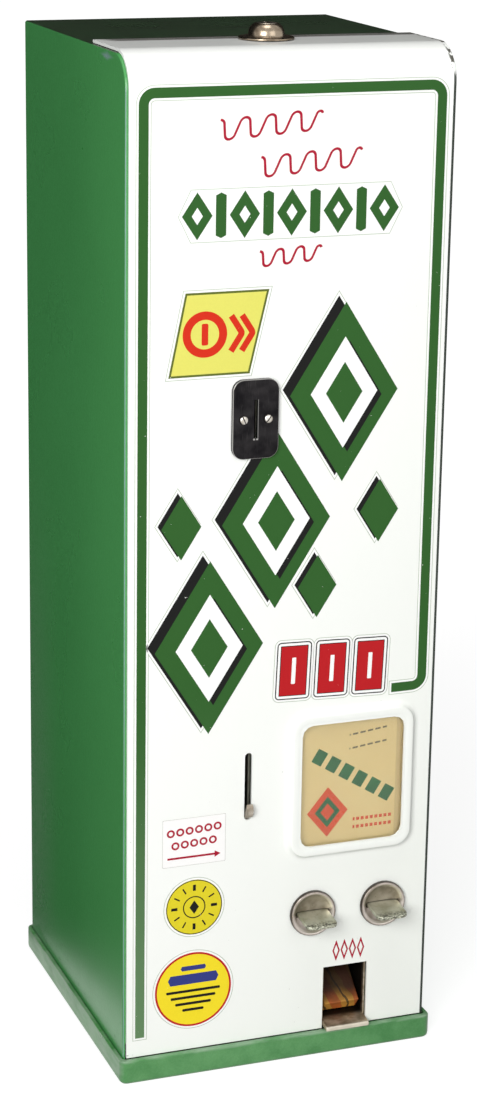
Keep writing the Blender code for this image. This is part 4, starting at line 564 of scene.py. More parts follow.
def ink(name, colour, gloss=0.15):
    """Printed or cut vinyl in one colour, a little uneven, with a few fine pin holes."""
    made = Finish(name, specular=gloss)
    worn = tuple(c * (0.95 if min(colour[:3]) > 0.9 else 0.74) for c in colour[:3]) + (1,)
    tone = made.mix(made.noise(0.02, 3) * 0.15 + made.noise(0.0009, 1) * 0.2, colour, worn)
    if name == "green_ink":
        tone = made.mix(made.axis("Z").below(*WORN_LOW) * 0.55, tone, INK_WORN)
    holes = made.noise(0.0014, 3).above(0.76, 0.79)
    made.drive(colour=made.mix(holes, tone, WHITE_SHADED), roughness=made.noise(0.03, 3) * 0.2 + 0.35)
    return made.bump(made.noise(0.0015, 2), 0.00002)


def verts_in(geom):
    return [g for g in geom if isinstance(g, bmesh.types.BMVert)]


green_ink = ink("green_ink", srgb(47, 93, 40))
clear_film = ink("clear_film", srgb(251, 252, 249), 0.5)
film_rim = ink("film_rim", srgb(194, 203, 188), 0.3)


def strip(bm, start, heading, width, moves):
    """A flat band. Its end edge is drawn out along each run and spun round each turn.

    A run is one length. A turn is an angle in degrees, to the left if positive, and a radius.
    """
    angle = math.radians(heading)
    place, ahead = Vector((*start, 0)), Vector((math.cos(angle), math.sin(angle), 0))
    side = Vector((-ahead.y, ahead.x, 0))
    verts = [bm.verts.new(place + side * (width / 2)), bm.verts.new(place - side * (width / 2))]
    end = [bm.edges.new(verts)]
    for move in moves:
        if len(move) == 1:
            made = bmesh.ops.extrude_edge_only(bm, edges=end)["geom"]
            bmesh.ops.translate(bm, verts=verts_in(made), vec=ahead * move[0])
            end = [g for g in made if isinstance(g, bmesh.types.BMEdge)]
            place += ahead * move[0]
        else:
            turn, radius = math.radians(move[0]), move[1]
            side = Vector((-ahead.y, ahead.x, 0)) * math.copysign(1, turn)
            centre = place + side * radius
            steps = max(3, int(abs(move[0]) / 90 * TURN_STEPS))
            made = bmesh.ops.spin(bm, geom=end + list(end[0].verts), cent=centre, axis=(0, 0, 1),
                                  angle=turn, steps=steps, use_duplicate=False)["geom_last"]
            end = [g for g in made if isinstance(g, bmesh.types.BMEdge)]
            spun = Matrix.Rotation(turn, 3, "Z")
            place = centre + spun @ (place - centre)
            ahead = spun @ ahead
    return bm


def decal(name, bm, finish, lift, body="door", plane=ON_DOOR):
    """Give a flat shape the thickness of its film and lay it on the door, lift off the face."""
    merge(bm)
    bmesh.ops.recalc_face_normals(bm, faces=bm.faces)
    if sum(f.normal.z * f.calc_area() for f in bm.faces) > 0:
        bmesh.ops.reverse_faces(bm, faces=bm.faces)
    made = bmesh.ops.extrude_face_region(bm, geom=bm.faces[:], use_keep_orig=True)["geom"]
    bmesh.ops.translate(bm, verts=verts_in(made), vec=(0, 0, lift))
    bmesh.ops.transform(bm, verts=bm.verts, matrix=plane)
    return hang(piece_of(name, bm, smooth=False), finish, body)


def on_film(name, shape, finish, lift=1.0):
    """Lay a shape on its clear film. The shape is a function of how far it grows past its outline."""
    decal(name + "_film_rim", shape(FILM_MARGIN), film_rim, FILM_LIFT)
    decal(name + "_film", shape(FILM_MARGIN - FILM_RIM), clear_film, FILM_LIFT * 1.6)
    return decal(name, shape(0), finish, INK_LIFT * lift)


def stripe(margin):
    """The whole line in one strip, grown by the margin on every side."""
    turn, right = STRIPE_TURN, -STRIPE_LEFT
    return strip(bmesh.new(), (STRIPE_LEFT, STRIPE_FOOT - margin), 90, STRIPE_WIDTH + 2 * margin, [
        (STRIPE_TOP - turn - STRIPE_FOOT + margin,), (-90, turn),
        (right - STRIPE_LEFT - 2 * turn,), (-90, turn),
        (STRIPE_TOP - STRIPE_RIGHT_FOOT - 2 * turn,), (-90, turn),
        (right - turn - STRIPE_END + margin,)])


on_film("door_stripe", stripe, green_ink)


# Name panel: a frieze of green lozenges and pointed bars, with red waved lines above and below
# it. Cut vinyl on clear film.

FRIEZE_CENTRE = (-0.001, 0.4560)
FRIEZE_PITCH = 0.0244
FRIEZE_LOZENGE = (0.0078, 0.0116)   # half its width and height
FRIEZE_LENGTH = 0.1145
FRIEZE_HOLLOW_SHARE = 0.36
FRIEZE_BAR = (0.0222, 0.0054)       # its height and width
WAVE_WIDTH = 0.0012
WAVE_SWING = 150.0         # degrees that each turn of a wave goes round
WAVE_LEAD = 70.0
WAVE_CURL_SHARE = 0.6      # of a turn's radius, at the last curl
WAVE_LEAN = 0.28
WAVE_RISE = math.radians(4)
WAVES = (  # name, its middle, its turns, their radius, and the straight runs between them
    ("wave_upper", (-0.0120, 0.4985), 7, 0.0026, 0.0060),
    ("wave_middle", (0.0090, 0.4800), 7, 0.0026, 0.0060),
    ("wave_lower", (-0.001, 0.4345), 5, 0.0022, 0.0044),
)

red_ink = ink("red_ink", srgb(190, 30, 36))
crimson_ink = ink("crimson_ink", srgb(172, 24, 52))
white_ink = ink("white_ink", srgb(251, 252, 249), 0.5)


def lozenge(bm, half_width, half_height, x, y):
    """A diamond: a circle of four corners, scaled."""
    verts = bmesh.ops.create_circle(bm, cap_ends=True, segments=4, radius=1)["verts"]
    bmesh.ops.scale(bm, verts=verts, vec=(half_width, half_height, 1))
    bmesh.ops.translate(bm, verts=verts, vec=(x, y, 0))
    return verts[0].link_faces[0]


def pointed_bar(bm, width, height, x, y, turn=0.0):
    """A hexagon stretched into a bar with pointed ends, then turned."""
    verts = bmesh.ops.create_circle(bm, cap_ends=True, segments=6, radius=1,
                                    matrix=Matrix.Rotation(math.radians(30), 4, "Z"))["verts"]
    for v in verts:
        v.co.x = math.copysign(abs(v.co.x) * height / 2 + (width - height) / 2, v.co.x)
        v.co.y *= height / 2 / math.sin(math.radians(60))
    turn_round(bm, verts, math.radians(turn))
    bmesh.ops.translate(bm, verts=verts, vec=(x, y, 0))
    return verts[0].link_faces[0]


def frieze(margin):
    """The lozenges and bars. Past their outline they share one long pointed film."""
    bm = bmesh.new()
    x, z = FRIEZE_CENTRE
    if margin:
        pointed_bar(bm, FRIEZE_LENGTH + 2 * margin, FRIEZE_LOZENGE[1] * 2 + 2 * margin, x, z)
        return bm
    for place in range(-2, 3):
        lozenge(bm, *FRIEZE_LOZENGE, x + place * FRIEZE_PITCH, z)
    for place in (-1.5, -0.5, 0.5, 1.5):
        pointed_bar(bm, *FRIEZE_BAR, x + place * FRIEZE_PITCH, z, 90)
    return bm


on_film("name_frieze", frieze, green_ink)
bm = bmesh.new()
for place in range(-2, 3):
    lozenge(bm, FRIEZE_LOZENGE[0] * FRIEZE_HOLLOW_SHARE, FRIEZE_LOZENGE[1] * FRIEZE_HOLLOW_SHARE,
            FRIEZE_CENTRE[0] + place * FRIEZE_PITCH, FRIEZE_CENTRE[1])
decal("name_frieze_hollows", bm, white_ink, INK_LIFT * 1.4)


def wave(name, middle, turns, radius, run):
    """A waved line: tall equal turns with straight runs between, and a curl at both ends."""
    bm = bmesh.new()
    last = 1 if turns % 2 else -1
    moves = [(-WAVE_LEAD, radius)]
    for i in range(turns):
        moves += [(run,), ((-1 if i % 2 else 1) * WAVE_SWING, radius)]
    moves += [(run,), (-last * WAVE_SWING, radius * WAVE_CURL_SHARE)]
    strip(bm, (0, 0), WAVE_LEAD - WAVE_SWING / 2, WAVE_WIDTH, moves)
    for v in bm.verts:
        v.co.x += v.co.y * WAVE_LEAN
    turn_round(bm, bm.verts, WAVE_RISE)
    for axis, place in enumerate(middle):
        along = [v.co[axis] for v in bm.verts]
        shift = place - (min(along) + max(along)) / 2
        bmesh.ops.translate(bm, verts=bm.verts, vec=(shift, 0, 0) if axis == 0 else (0, shift, 0))
    return decal(name, bm, crimson_ink, INK_LIFT)


for row in WAVES:
    wave(*row)


# Lozenge panel: three large green lozenges and three small ones with black shadows, the large ones
# with a white frame inside. Cut vinyl on clear film.

LARGE_LOZENGES = ((0.029, 0.364), (-0.006, 0.300), (-0.041, 0.236))
SMALL_LOZENGES = ((0.050, 0.301), (-0.0565, 0.3005), (0.017, 0.2635))
LARGE_HALF = (0.0290, 0.0460)
SMALL_HALF = (0.0105, 0.0166)
FRAME_OUTER_SHARE = 0.62
FRAME_INNER_SHARE = 0.34
SHADOW_SHIFT = (-0.0040, 0.0034)
FRAME_SHADOW_SHIFT = (0.0024, -0.0022)
BLACK_INK = srgb(14, 14, 13)

black_ink = ink("black_ink", BLACK_INK)


def lozenges(centres, half, share=1.0, shift=(0, 0), grow=0.0):
    """Lozenges of one size, each scaled by the share, shifted, and grown on every side."""
    bm = bmesh.new()
    slope = half[1] / half[0]
    wider = grow * math.hypot(1, slope) / slope
    for x, z in centres:
        lozenge(bm, half[0] * share + wider, half[1] * share + wider * slope, x + shift[0], z + shift[1])
    return bm


for size, centres, half in (("large", LARGE_LOZENGES, LARGE_HALF), ("small", SMALL_LOZENGES, SMALL_HALF)):
    cast = SHADOW_SHIFT if size == "large" else (SHADOW_SHIFT[0] / 2, SHADOW_SHIFT[1] / 2)
    for layer, shift, grow, finish, lift in (
            ("_film_rim", cast, FILM_MARGIN, film_rim, FILM_LIFT),
            ("_film", cast, FILM_MARGIN - FILM_RIM, clear_film, FILM_LIFT * 1.6),
            ("_shadow", cast, 0.0, black_ink, INK_LIFT * 0.9),
            ("", (0, 0), 0.0, green_ink, INK_LIFT * 1.2)):
        decal(size + "_lozenge" + layer, lozenges(centres, half, 1, shift, grow), finish, lift)
for name, share, shift, finish, lift in (
        ("frame_shadow", FRAME_OUTER_SHARE, FRAME_SHADOW_SHIFT, black_ink, 1.45),
        ("frame", FRAME_OUTER_SHARE, (0, 0), white_ink, 1.65),
        ("frame_hollow", FRAME_INNER_SHARE, (0, 0), green_ink, 1.85)):
    decal("lozenge_" + name, lozenges(LARGE_LOZENGES, LARGE_HALF, share, shift), finish, INK_LIFT * lift)


# Coin placard: a slanted yellow label with an olive line round it, and a red coin with a slot in
# it and two chevrons that point to the coin entry.

PLACARD_CORNERS = ((-0.0639, 0.3770), (-0.0217, 0.3770), (-0.0120, 0.4187), (-0.0554, 0.4187))
PLACARD_LINE = 0.0011
PLACARD_SLACK_SHARE = 0.1      # it is drawn larger by this share on each side, then inset
COIN_RING = 0.0115
COIN_WIDTH_SHARE = 0.64        # the ring's inner radius
COIN_SHIFT = -0.007            # the coin's middle, from the placard's
COIN_SLOT_SIZE, COIN_SLOT_CORNER = (0.0034, 0.0108), 0.0008
CHEVRON_START = (0.0066, -0.0091)
CHEVRON_PITCH = 0.0056
CHEVRON_WIDTH, CHEVRON_LEG, CHEVRON_CORNER = 0.0032, 0.0094, 0.0018
CHEVRON_RISE, CHEVRON_TURN = 57, 66

yellow_vinyl = ink("yellow_vinyl", srgb(230, 226, 108))
olive_ink = ink("olive_ink", srgb(96, 108, 44))
placard_red = ink("placard_red", srgb(214, 48, 28))


def polygon(bm, corners):
    return bm.faces.new([bm.verts.new((*c, 0)) for c in corners])


def ring(bm, outer, inner, x, y, segments=48):
    """A flat ring: a disc inset by its width, with its middle taken out."""
    verts = bmesh.ops.create_circle(bm, cap_ends=True, segments=segments, radius=outer)["verts"]
    bmesh.ops.translate(bm, verts=verts, vec=(x, y, 0))
    face = verts[0].link_faces[0]
    if inner:
        step_in(bm, face, outer - inner)
        take_out(bm, face)
    return bm


placard_middle = Vector((sum(c[0] for c in PLACARD_CORNERS) / 4, sum(c[1] for c in PLACARD_CORNERS) / 4, 0))


def placard(margin):
    """The placard's outline, drawn bigger than the label and inset back to the margin round it."""
    bm = bmesh.new()
    face = polygon(bm, PLACARD_CORNERS)
    larger = 1 + 2 * PLACARD_SLACK_SHARE
    bmesh.ops.translate(bm, verts=bm.verts, vec=-placard_middle)
    bmesh.ops.scale(bm, verts=bm.verts, vec=(larger, larger, 1))
    bmesh.ops.translate(bm, verts=bm.verts, vec=placard_middle)
    slack = PLACARD_SLACK_SHARE * (PLACARD_CORNERS[2][1] - PLACARD_CORNERS[0][1])
    step_in(bm, face, slack - margin)
    take_out(bm, *(f for f in bm.faces if f is not face))
    return bm


on_film("placard_line", placard, olive_ink)
decal("placard_yellow", placard(-PLACARD_LINE), yellow_vinyl, INK_LIFT * 1.3)

bm = bmesh.new()
coin = (placard_middle.x + COIN_SHIFT, placard_middle.y)
ring(bm, COIN_RING, COIN_RING * COIN_WIDTH_SHARE, *coin)
rounded_face(bm, *COIN_SLOT_SIZE, COIN_SLOT_CORNER, *coin)
chevron = placard_middle.xy + Vector(CHEVRON_START)
for step in range(2):
    strip(bm, (chevron.x + step * CHEVRON_PITCH, chevron.y), CHEVRON_RISE, CHEVRON_WIDTH,
          [(CHEVRON_LEG,), (CHEVRON_TURN, CHEVRON_CORNER), (CHEVRON_LEG,)])
decal("placard_coin", bm, placard_red, INK_LIFT * 1.6)


# Stick panel: three red bars with white middles, each in a white border with a black line round
# it, like sticks of gum. Cut vinyl on clear film, above the window.

STICKS_CENTRE = (0.0262, 0.2185)
STICK_PITCH = 0.0212
STICK_SIZE = (0.0190, 0.0310)
STICK_CORNER, LEAST_CORNER = 0.0022, 0.0004
STICK_SLANT = math.radians(-2)
STICK_LAYERS = (  # name, how far it lies inside the outline, lift
    ("border", 0.0006, 1.3), ("inner_line", 0.0019, 1.5), ("red", 0.0023, 1.7), ("gap", 0.0084, 1.9))


def sticks(margin):
    """Three upright bars with rounded corners, each grown by the margin."""
    bm = bmesh.new()
    corner = max(STICK_CORNER + margin, LEAST_CORNER)
    for i in (-1, 0, 1):
        rounded_face(bm, STICK_SIZE[0] + 2 * margin, STICK_SIZE[1] + 2 * margin, corner, i * STICK_PITCH, 0)
    turn_round(bm, bm.verts, STICK_SLANT)
    bmesh.ops.translate(bm, verts=bm.verts, vec=(*STICKS_CENTRE, 0))
    return bm


on_film("sticks_line", sticks, black_ink)
for (layer, inside, lift), finish in zip(STICK_LAYERS, (white_ink, black_ink, red_ink, white_ink)):
    decal("sticks_" + layer, sticks(-inside), finish, INK_LIFT * lift)


# Coin return label: white vinyl with a red arrow that points to the return cup, and two rows of
# small coins.

LABEL_CENTRE = (-0.048, 0.132)
LABEL_SIZE = (0.034, 0.026)
LABEL_CORNER = 0.0005
ARROW_LENGTH, ARROW_WIDTH, ARROW_DROP = 0.029, 0.0011, 0.0085
ARROW_HEAD = (0.0032, 0.0018)      # its length and half its height
ARROW_OVERLAP = 0.0002             # of the shaft and the head
LABEL_COIN = (0.0022, 0.0012)      # outer and inner radius
LABEL_COIN_PITCH = (0.0051, 0.0072)
LABEL_COINS_RISE, LABEL_COINS_SLOPE = 0.0062, 0.06
LABEL_COIN_ROWS = (6, 5)

label_vinyl = ink("label_vinyl", srgb(253, 252, 250))
label_edge = ink("label_edge", srgb(196, 194, 188))
for layer, grow, finish, lift in (("_edge", FILM_RIM, label_edge, 0.8), ("", 0, label_vinyl, 1.0)):
    bm = bmesh.new()
    rounded_face(bm, LABEL_SIZE[0] + grow, LABEL_SIZE[1] + grow, LABEL_CORNER, *LABEL_CENTRE)
    decal("return_label" + layer, bm, finish, INK_LIFT * lift)
bm = bmesh.new()
arrow_z = LABEL_CENTRE[1] - ARROW_DROP
arrow_start, arrow_tip = LABEL_CENTRE[0] - ARROW_LENGTH / 2, LABEL_CENTRE[0] + ARROW_LENGTH / 2
strip(bm, (arrow_start, arrow_z), 0, ARROW_WIDTH, [(ARROW_LENGTH - ARROW_HEAD[0] + ARROW_OVERLAP,)])
polygon(bm, ((arrow_tip - ARROW_HEAD[0], arrow_z - ARROW_HEAD[1]), (arrow_tip, arrow_z),
             (arrow_tip - ARROW_HEAD[0], arrow_z + ARROW_HEAD[1])))
for row, coins in enumerate(LABEL_COIN_ROWS):
    for place in range(coins):
        x = (place - (coins - 1) / 2) * LABEL_COIN_PITCH[0]
        z = LABEL_COINS_RISE - row * LABEL_COIN_PITCH[1] + x * LABEL_COINS_SLOPE
        ring(bm, *LABEL_COIN, LABEL_CENTRE[0] + x, LABEL_CENTRE[1] + z, 24)
decal("return_arrow", bm, crimson_ink, INK_LIFT * 1.5)


# Round stickers: yellow paper discs, one with a dark ring and dial marks, one with a red ring, a
# blue bar and rows of black bars.

DIAL_CENTRE, DIAL_RADIUS = (-0.0476, 0.0949), 0.0154
DIAL_RING_SHARES = 0.995, 0.965
DIAL_MARKS, DIAL_MARK_STEP = 12, 30     # how many, and the degrees between them
DIAL_MARK_START, DIAL_MARK_LENGTH = 0.0092, 0.0034
DIAL_MARK_WIDE, DIAL_MARK_FINE = 0.0016, 0.0008
DIAL_HUB, DIAL_POINT = (0.0062, 0.0056), (0.0026, 0.0038)
RED_RING_CENTRE, RED_RING_RADIUS = (-0.0477, 0.0481), 0.0211
RED_RING_SHARE = 0.95
BLUE_BARS = ((0.028, 0.0056, 0.0062), (0.014, 0.0026, 0.0124))    # width, height, rise
BLACK_ROWS = (0.030, 0.025, 0.020, 0.012)
BLACK_ROW_HEIGHT, BLACK_ROW_DROP, BLACK_ROW_PITCH = 0.0015, 0.0006, 0.0036

sticker_yellow = ink("sticker_yellow", srgb(250, 226, 44))
sticker_lemon = ink("sticker_lemon", srgb(230, 214, 44))
blue_ink = ink("blue_ink", srgb(52, 60, 130))


def disc(radius, centre, segments):
    return lambda margin: ring(bmesh.new(), radius + margin, 0, *centre, segments)


on_film("dial_sticker", disc(DIAL_RADIUS, DIAL_CENTRE, 64), sticker_lemon)
on_film("ring_sticker", disc(RED_RING_RADIUS, RED_RING_CENTRE, 72), sticker_yellow)

bm = bmesh.new()
ring(bm, *(DIAL_RADIUS * share for share in DIAL_RING_SHARES), *DIAL_CENTRE, 64)
x, z = DIAL_CENTRE
for mark in range(DIAL_MARKS):
    angle = math.radians(DIAL_MARK_STEP * mark)
    start = (x + DIAL_MARK_START * math.cos(angle), z + DIAL_MARK_START * math.sin(angle))
    width = DIAL_MARK_FINE if mark % 3 else DIAL_MARK_WIDE
    strip(bm, start, DIAL_MARK_STEP * mark, width, [(DIAL_MARK_LENGTH,)])
ring(bm, *DIAL_HUB, *DIAL_CENTRE)
lozenge(bm, *DIAL_POINT, *DIAL_CENTRE)
decal("dial_marks", bm, black_ink, INK_LIFT * 1.4)

x, z = RED_RING_CENTRE
bm = ring(bmesh.new(), RED_RING_RADIUS, RED_RING_RADIUS * RED_RING_SHARE, x, z, 72)
decal("red_ring", bm, red_ink, INK_LIFT * 1.4)
bm = bmesh.new()
for width, height, rise in BLUE_BARS:
    pointed_bar(bm, width, height, x, z + rise)
decal("ring_sticker_bar", bm, blue_ink, INK_LIFT * 1.4)
bm = bmesh.new()
for row, width in enumerate(BLACK_ROWS):
    pointed_bar(bm, width, BLACK_ROW_HEIGHT, x, z - BLACK_ROW_DROP - row * BLACK_ROW_PITCH)
decal("ring_sticker_rows", bm, black_ink, INK_LIFT * 1.4)


# Pull mark: a row of small hollow red lozenges over the delivery opening. Cut vinyl, laid on by
# itself.

PULL_MARK = (0.0400, 0.0583)
PULL_MARK_HALF, PULL_MARK_PITCH, PULL_MARK_LINE = (0.0021, 0.0060), 0.0047, 0.0008
bm = bmesh.new()
for i in (-1.5, -0.5, 0.5, 1.5):
    face = lozenge(bm, *PULL_MARK_HALF, PULL_MARK[0] + i * PULL_MARK_PITCH, PULL_MARK[1])
    step_in(bm, face, PULL_MARK_LINE)
    take_out(bm, face)
decal("pull_mark", bm, crimson_ink, INK_LIFT)


# Window: a clear pane in the rim, with a printed card behind it. A zinc plate over the back holds
# both against the door.

PANE_TINT = (0.95, 0.97, 0.95, 1)

pane_glass = Finish("window_glass", specular=0.2, IOR=1.45, **{"Transmission Weight": 1.0})
smears = pane_glass.noise(0.012, 4).above(0.5, 0.9)
pane_glass.drive(colour=PANE_TINT, roughness=smears * 0.08 + 0.02)
finished_copy("pane", "window_glass", pane_glass, "door")

CARD_TAN = srgb(212, 183, 124)
CARD_PALE = srgb(222, 197, 142)
CARD_SHADE = srgb(182, 152, 104)
CARD_GREEN = srgb(16, 92, 40)
CARD_ORANGE = srgb(208, 68, 4)
CARD_SLANT = math.radians(-32)     # of a row of green blocks
ROW_RISE, ROW_HALF = 0.0030, (0.0260, 0.0040)   # above the card's middle; half its length and height
BLOCK_PITCH, BLOCK_LENGTH, BLOCK_START = 0.0090, 0.0062, -0.0976
GEM_PLACE, GEM_HALF = (-0.0125, -0.0165), (0.0115, 0.0140)
GEM_LINE_SHARES = (0.34, 0.62)
DASHES = (  # colour, its share, middle, half the gap between two lines, half a line, half their
            # length, pitch and length of a dash, slope
    (CARD_ORANGE, 1.0, (0.0130, -0.0245), 0.0022, 0.0009, 0.0110, 0.0026, 0.0017, 0.0),
    (BLACK_INK, 0.8, (0.0095, 0.0215), 0.0038, 0.0005, 0.0105, 0.0042, 0.0030, 0.12),
)
CARD_STRIP = 0.0254, 0.0259        # a darker strip along the card's right edge starts here
BEFORE_CARD = 0.1                  # keeps what is wrapped above zero

card_paper = Finish("printed_card", specular=0.2)
card_x, card_z = card_paper.axis("X") - WINDOW_X, card_paper.axis("Z") - WINDOW_Z
along = card_x * math.cos(CARD_SLANT) + card_z * math.sin(CARD_SLANT)
across = card_z * math.cos(CARD_SLANT) - card_x * math.sin(CARD_SLANT)
gem = abs(card_x - GEM_PLACE[0]) / GEM_HALF[0] + abs(card_z - GEM_PLACE[1]) / GEM_HALF[1]
blocks = (abs(across - ROW_RISE) < ROW_HALF[1]) * (abs(along) < ROW_HALF[0]) * (
    (along - BLOCK_START).wrapped(BLOCK_PITCH) < BLOCK_LENGTH)
paper = card_paper.over(
    card_paper.mix(card_paper.noise(0.018, 4), CARD_TAN, CARD_PALE), (gem < 1, CARD_ORANGE),
    ((gem > GEM_LINE_SHARES[0]) * (gem < GEM_LINE_SHARES[1]), CARD_GREEN), (blocks, CARD_GREEN))
for colour, share, (x, z), gap, line, length, pitch, dash, slope in DASHES:
    dashes = (abs(abs(card_z - z - card_x * slope) - gap) < line) * (abs(card_x - x) < length) * (
        (card_x + BEFORE_CARD).wrapped(pitch) < dash)
    paper = card_paper.mix(dashes * share, paper, colour)
paper = card_paper.mix(card_x.above(*CARD_STRIP) * 0.5, paper, CARD_SHADE)
card_paper.drive(colour=paper, roughness=card_paper.noise(0.01, 3) * 0.15 + 0.68)
card_paper.bump(card_paper.noise(0.0006, 2, (1, 1, 3)), 0.00002)
finished_copy("card", "display_card", card_paper, "door")


# Coin entry: a dark polished steel plate with broken edges and a slot, held by two slotted
# screws. Highlights are painted along the plate's broken edges, beside the slot's right side and
# at the slot's foot.

SLOT_X, SLOT_Z = -0.0187, 0.354
SLOT_HALF = (0.00095, 0.0098)
PLATE_SIZE = (0.0243, 0.0404)
PLATE_CORNER = 0.0058
PLATE_STEPS = ((0.001, 1.8), (0.10, 0.32), (0.28, 0.14), (0.35, 0.04))   # inwards, outwards, in mm
PLATE_FRONT = -0.0828
PLATE_DEPTH = 0.0020
EDGE_HIGHLIGHT_DEPTHS = (0.00006, 0.00016), (0.0007, 0.0009)    # painted highlight between these depths behind the front
SLOT_GLINT_X, SLOT_GLINT_FOOT_X, SLOT_GLINT_Z, SLOT_GLINT_FOOT_Z = 0.00118, 0.0008, 0.0100, -0.0102    # painted highlights, from the slot's middle
SLOT_GLINT_HALF = (0.00018, 0.0004, 0.0005)    # half of the side's width, the foot's height and its width
STEEL_DARK, STEEL_GREY, STEEL_BRIGHT = srgb(24, 23, 25), srgb(50, 48, 49), srgb(176, 174, 170)

dark_steel = Finish("dark_polished_steel", metallic=1.0)
slot_x, slot_z = dark_steel.axis("X") - SLOT_X, dark_steel.axis("Z") - SLOT_Z
plate_y = dark_steel.axis("Y") - PLATE_FRONT
plate_edge_highlight = plate_y.above(*EDGE_HIGHLIGHT_DEPTHS[0]) * plate_y.below(*EDGE_HIGHLIGHT_DEPTHS[1])
# painted highlights: a line beside the slot's right side and two spots at its foot
slot_side_glint = (abs(slot_x - SLOT_GLINT_X) < SLOT_GLINT_HALF[0]) * (abs(slot_z) < SLOT_GLINT_Z)
slot_foot_glint = (abs(slot_z - SLOT_GLINT_FOOT_Z) < SLOT_GLINT_HALF[1]) * (abs(abs(slot_x) - SLOT_GLINT_FOOT_X) < SLOT_GLINT_HALF[2])
scratches = dark_steel.noise(0.0010, 3, (0.3, 1, 7)).above(0.60, 0.72)
bright = (slot_side_glint * 0.55).or_more(slot_foot_glint) * 0.75
bright = bright.or_more(scratches * 0.05).or_more(plate_edge_highlight * 0.7)
tarnish = dark_steel.noise(0.009, 4)
steel = dark_steel.mix(tarnish.above(0.30, 0.80), STEEL_DARK, STEEL_GREY)
dark_steel.drive(colour=dark_steel.mix(bright, steel, STEEL_BRIGHT),
                 roughness=tarnish * 0.16 + 0.26 + scratches * 0.1)
dark_steel.bump(dark_steel.noise(0.0026, 3), 0.00003)



def cut(bm, place, way, **settings):
    """Cut all faces at a plane. With clear_outer, what lies past it goes."""
    bmesh.ops.bisect_plane(bm, geom=bm.verts[:] + bm.edges[:] + bm.faces[:], plane_co=place,
                           plane_no=way, **settings)


bm = bmesh.new()
face = rounded_face(bm, *PLATE_SIZE, PLATE_CORNER, SLOT_X, SLOT_Z, 10)
for inwards, outwards in PLATE_STEPS:
    step_in(bm, face, inwards * MM, outwards * MM)
for side, half in ((Vector((1, 0, 0)), SLOT_HALF[0]), (Vector((0, 1, 0)), SLOT_HALF[1])):
    for way in (side, -side):
        cut(bm, Vector((SLOT_X, SLOT_Z, 0)) + way * half, way)
slot = [f for f in bm.faces if abs(f.calc_center_median().x - SLOT_X) < SLOT_HALF[0]
        and abs(f.calc_center_median().y - SLOT_Z) < SLOT_HALF[1]]
rim = [e for f in slot for e in f.edges if sum(g in slot for g in e.link_faces) == 1]
take_out(bm, *slot)
walls = bmesh.ops.extrude_edge_only(bm, edges=rim)["geom"]
bmesh.ops.translate(bm, verts=verts_in(walls), vec=(0, 0, -PLATE_DEPTH))
bmesh.ops.transform(bm, verts=bm.verts, matrix=ON_DOOR)
hang(piece_of("coin_plate", bm), dark_steel, "door", "coin_slot_plate")

SCREW_HEAD = 0.0023
SCREW_HEAD_SHARES = 0.92, 0.9      # radius of the head's seat, and of the base under its slot
SCREW_RISE = 0.0011
SCREW_SLOT = 0.0006
SCREW_SLOT_DEPTH = 0.0007
SCREW_SPACING = 0.0065
SCREW_SEAT = 0.0026        # in front of the door's face
SCREW_SHANK, SCREW_LENGTH = 0.0015, 0.0060
SCREW_SHADE_DEPTHS = 0.0007, 0.00045   # painted shade: the slot is dark between these heights over the seat


def aged_plate(name, bright, dull, pitted, roughness):
    """Plated metal that has dulled in soft patches and has fine dark pits."""
    made = Finish(name, metallic=1.0)
    patch = made.noise(0.0060, 4).above(0.35, 0.72)
    pits = made.noise(0.0008, 2).above(0.66, 0.74)
    made.drive(colour=made.mix(pits * 0.5, made.mix(patch, bright, dull), pitted),
               roughness=patch * 0.12 + roughness + pits * 0.1)
    return made.bump(made.noise(0.0016, 3), 0.00002)


nickel = aged_plate("aged_nickel", srgb(176, 168, 156), srgb(128, 116, 100), srgb(70, 58, 46), 0.24)


def spin_profile(bm, profile, steps, y=0.0):
    """A round surface from its radii and heights, upright through (0, y)."""
    verts = [bm.verts.new((radius, y, height)) for radius, height in profile]
    edges = [bm.edges.new(pair) for pair in zip(verts, verts[1:])]
    bmesh.ops.spin(bm, geom=verts + edges, cent=(0, y, 0), axis=(0, 0, 1), angle=math.tau, steps=steps,
                   use_merge=True)


def slotted_screw(name, x, z, seat, turn, finish, *nodes):
    """A round head spun from its profile, cut in two beside the slot and joined by its base."""
    bm = bmesh.new()
    floor_rise = SCREW_RISE - SCREW_SLOT_DEPTH
    quarter = [math.radians(angle) for angle in range(0, 91, 10)]
    dome = [(SCREW_HEAD * math.cos(angle), SCREW_RISE * math.sin(angle)) for angle in quarter]
    spin_profile(bm, [(SCREW_HEAD * SCREW_HEAD_SHARES[0], 0), *dome], 40)
    merge(bm)
    cut(bm, (SCREW_SLOT / 2, 0, 0), (-1, 0, 0), clear_outer=True)
    bmesh.ops.holes_fill(bm, edges=[e for e in bm.edges if e.is_boundary], sides=0)
    bmesh.ops.mirror(bm, geom=bm.verts[:] + bm.edges[:] + bm.faces[:], axis="X", merge_dist=0)
    for radius, depth, way, segments in ((SCREW_HEAD * SCREW_HEAD_SHARES[1], floor_rise, 1, 40),
                                         (SCREW_SHANK, SCREW_LENGTH, -1, 16)):
        verts = bmesh.ops.create_cone(bm, cap_ends=True, segments=segments, radius1=radius,
                                      radius2=radius, depth=depth)["verts"]
        bmesh.ops.translate(bm, verts=verts, vec=(0, 0, way * depth / 2))
    turn_round(bm, bm.verts, math.radians(turn))
    bmesh.ops.translate(bm, verts=bm.verts, vec=(x, z, seat))
    bmesh.ops.transform(bm, verts=bm.verts, matrix=ON_DOOR)
    return hang(piece_of(name, bm), finish, "door", *nodes)


screw_nickel = aged_plate("screw_nickel", srgb(214, 210, 202), srgb(168, 160, 148), srgb(84, 72, 60), 0.26)
screw_seat_y = DOOR_FACE - SCREW_SEAT
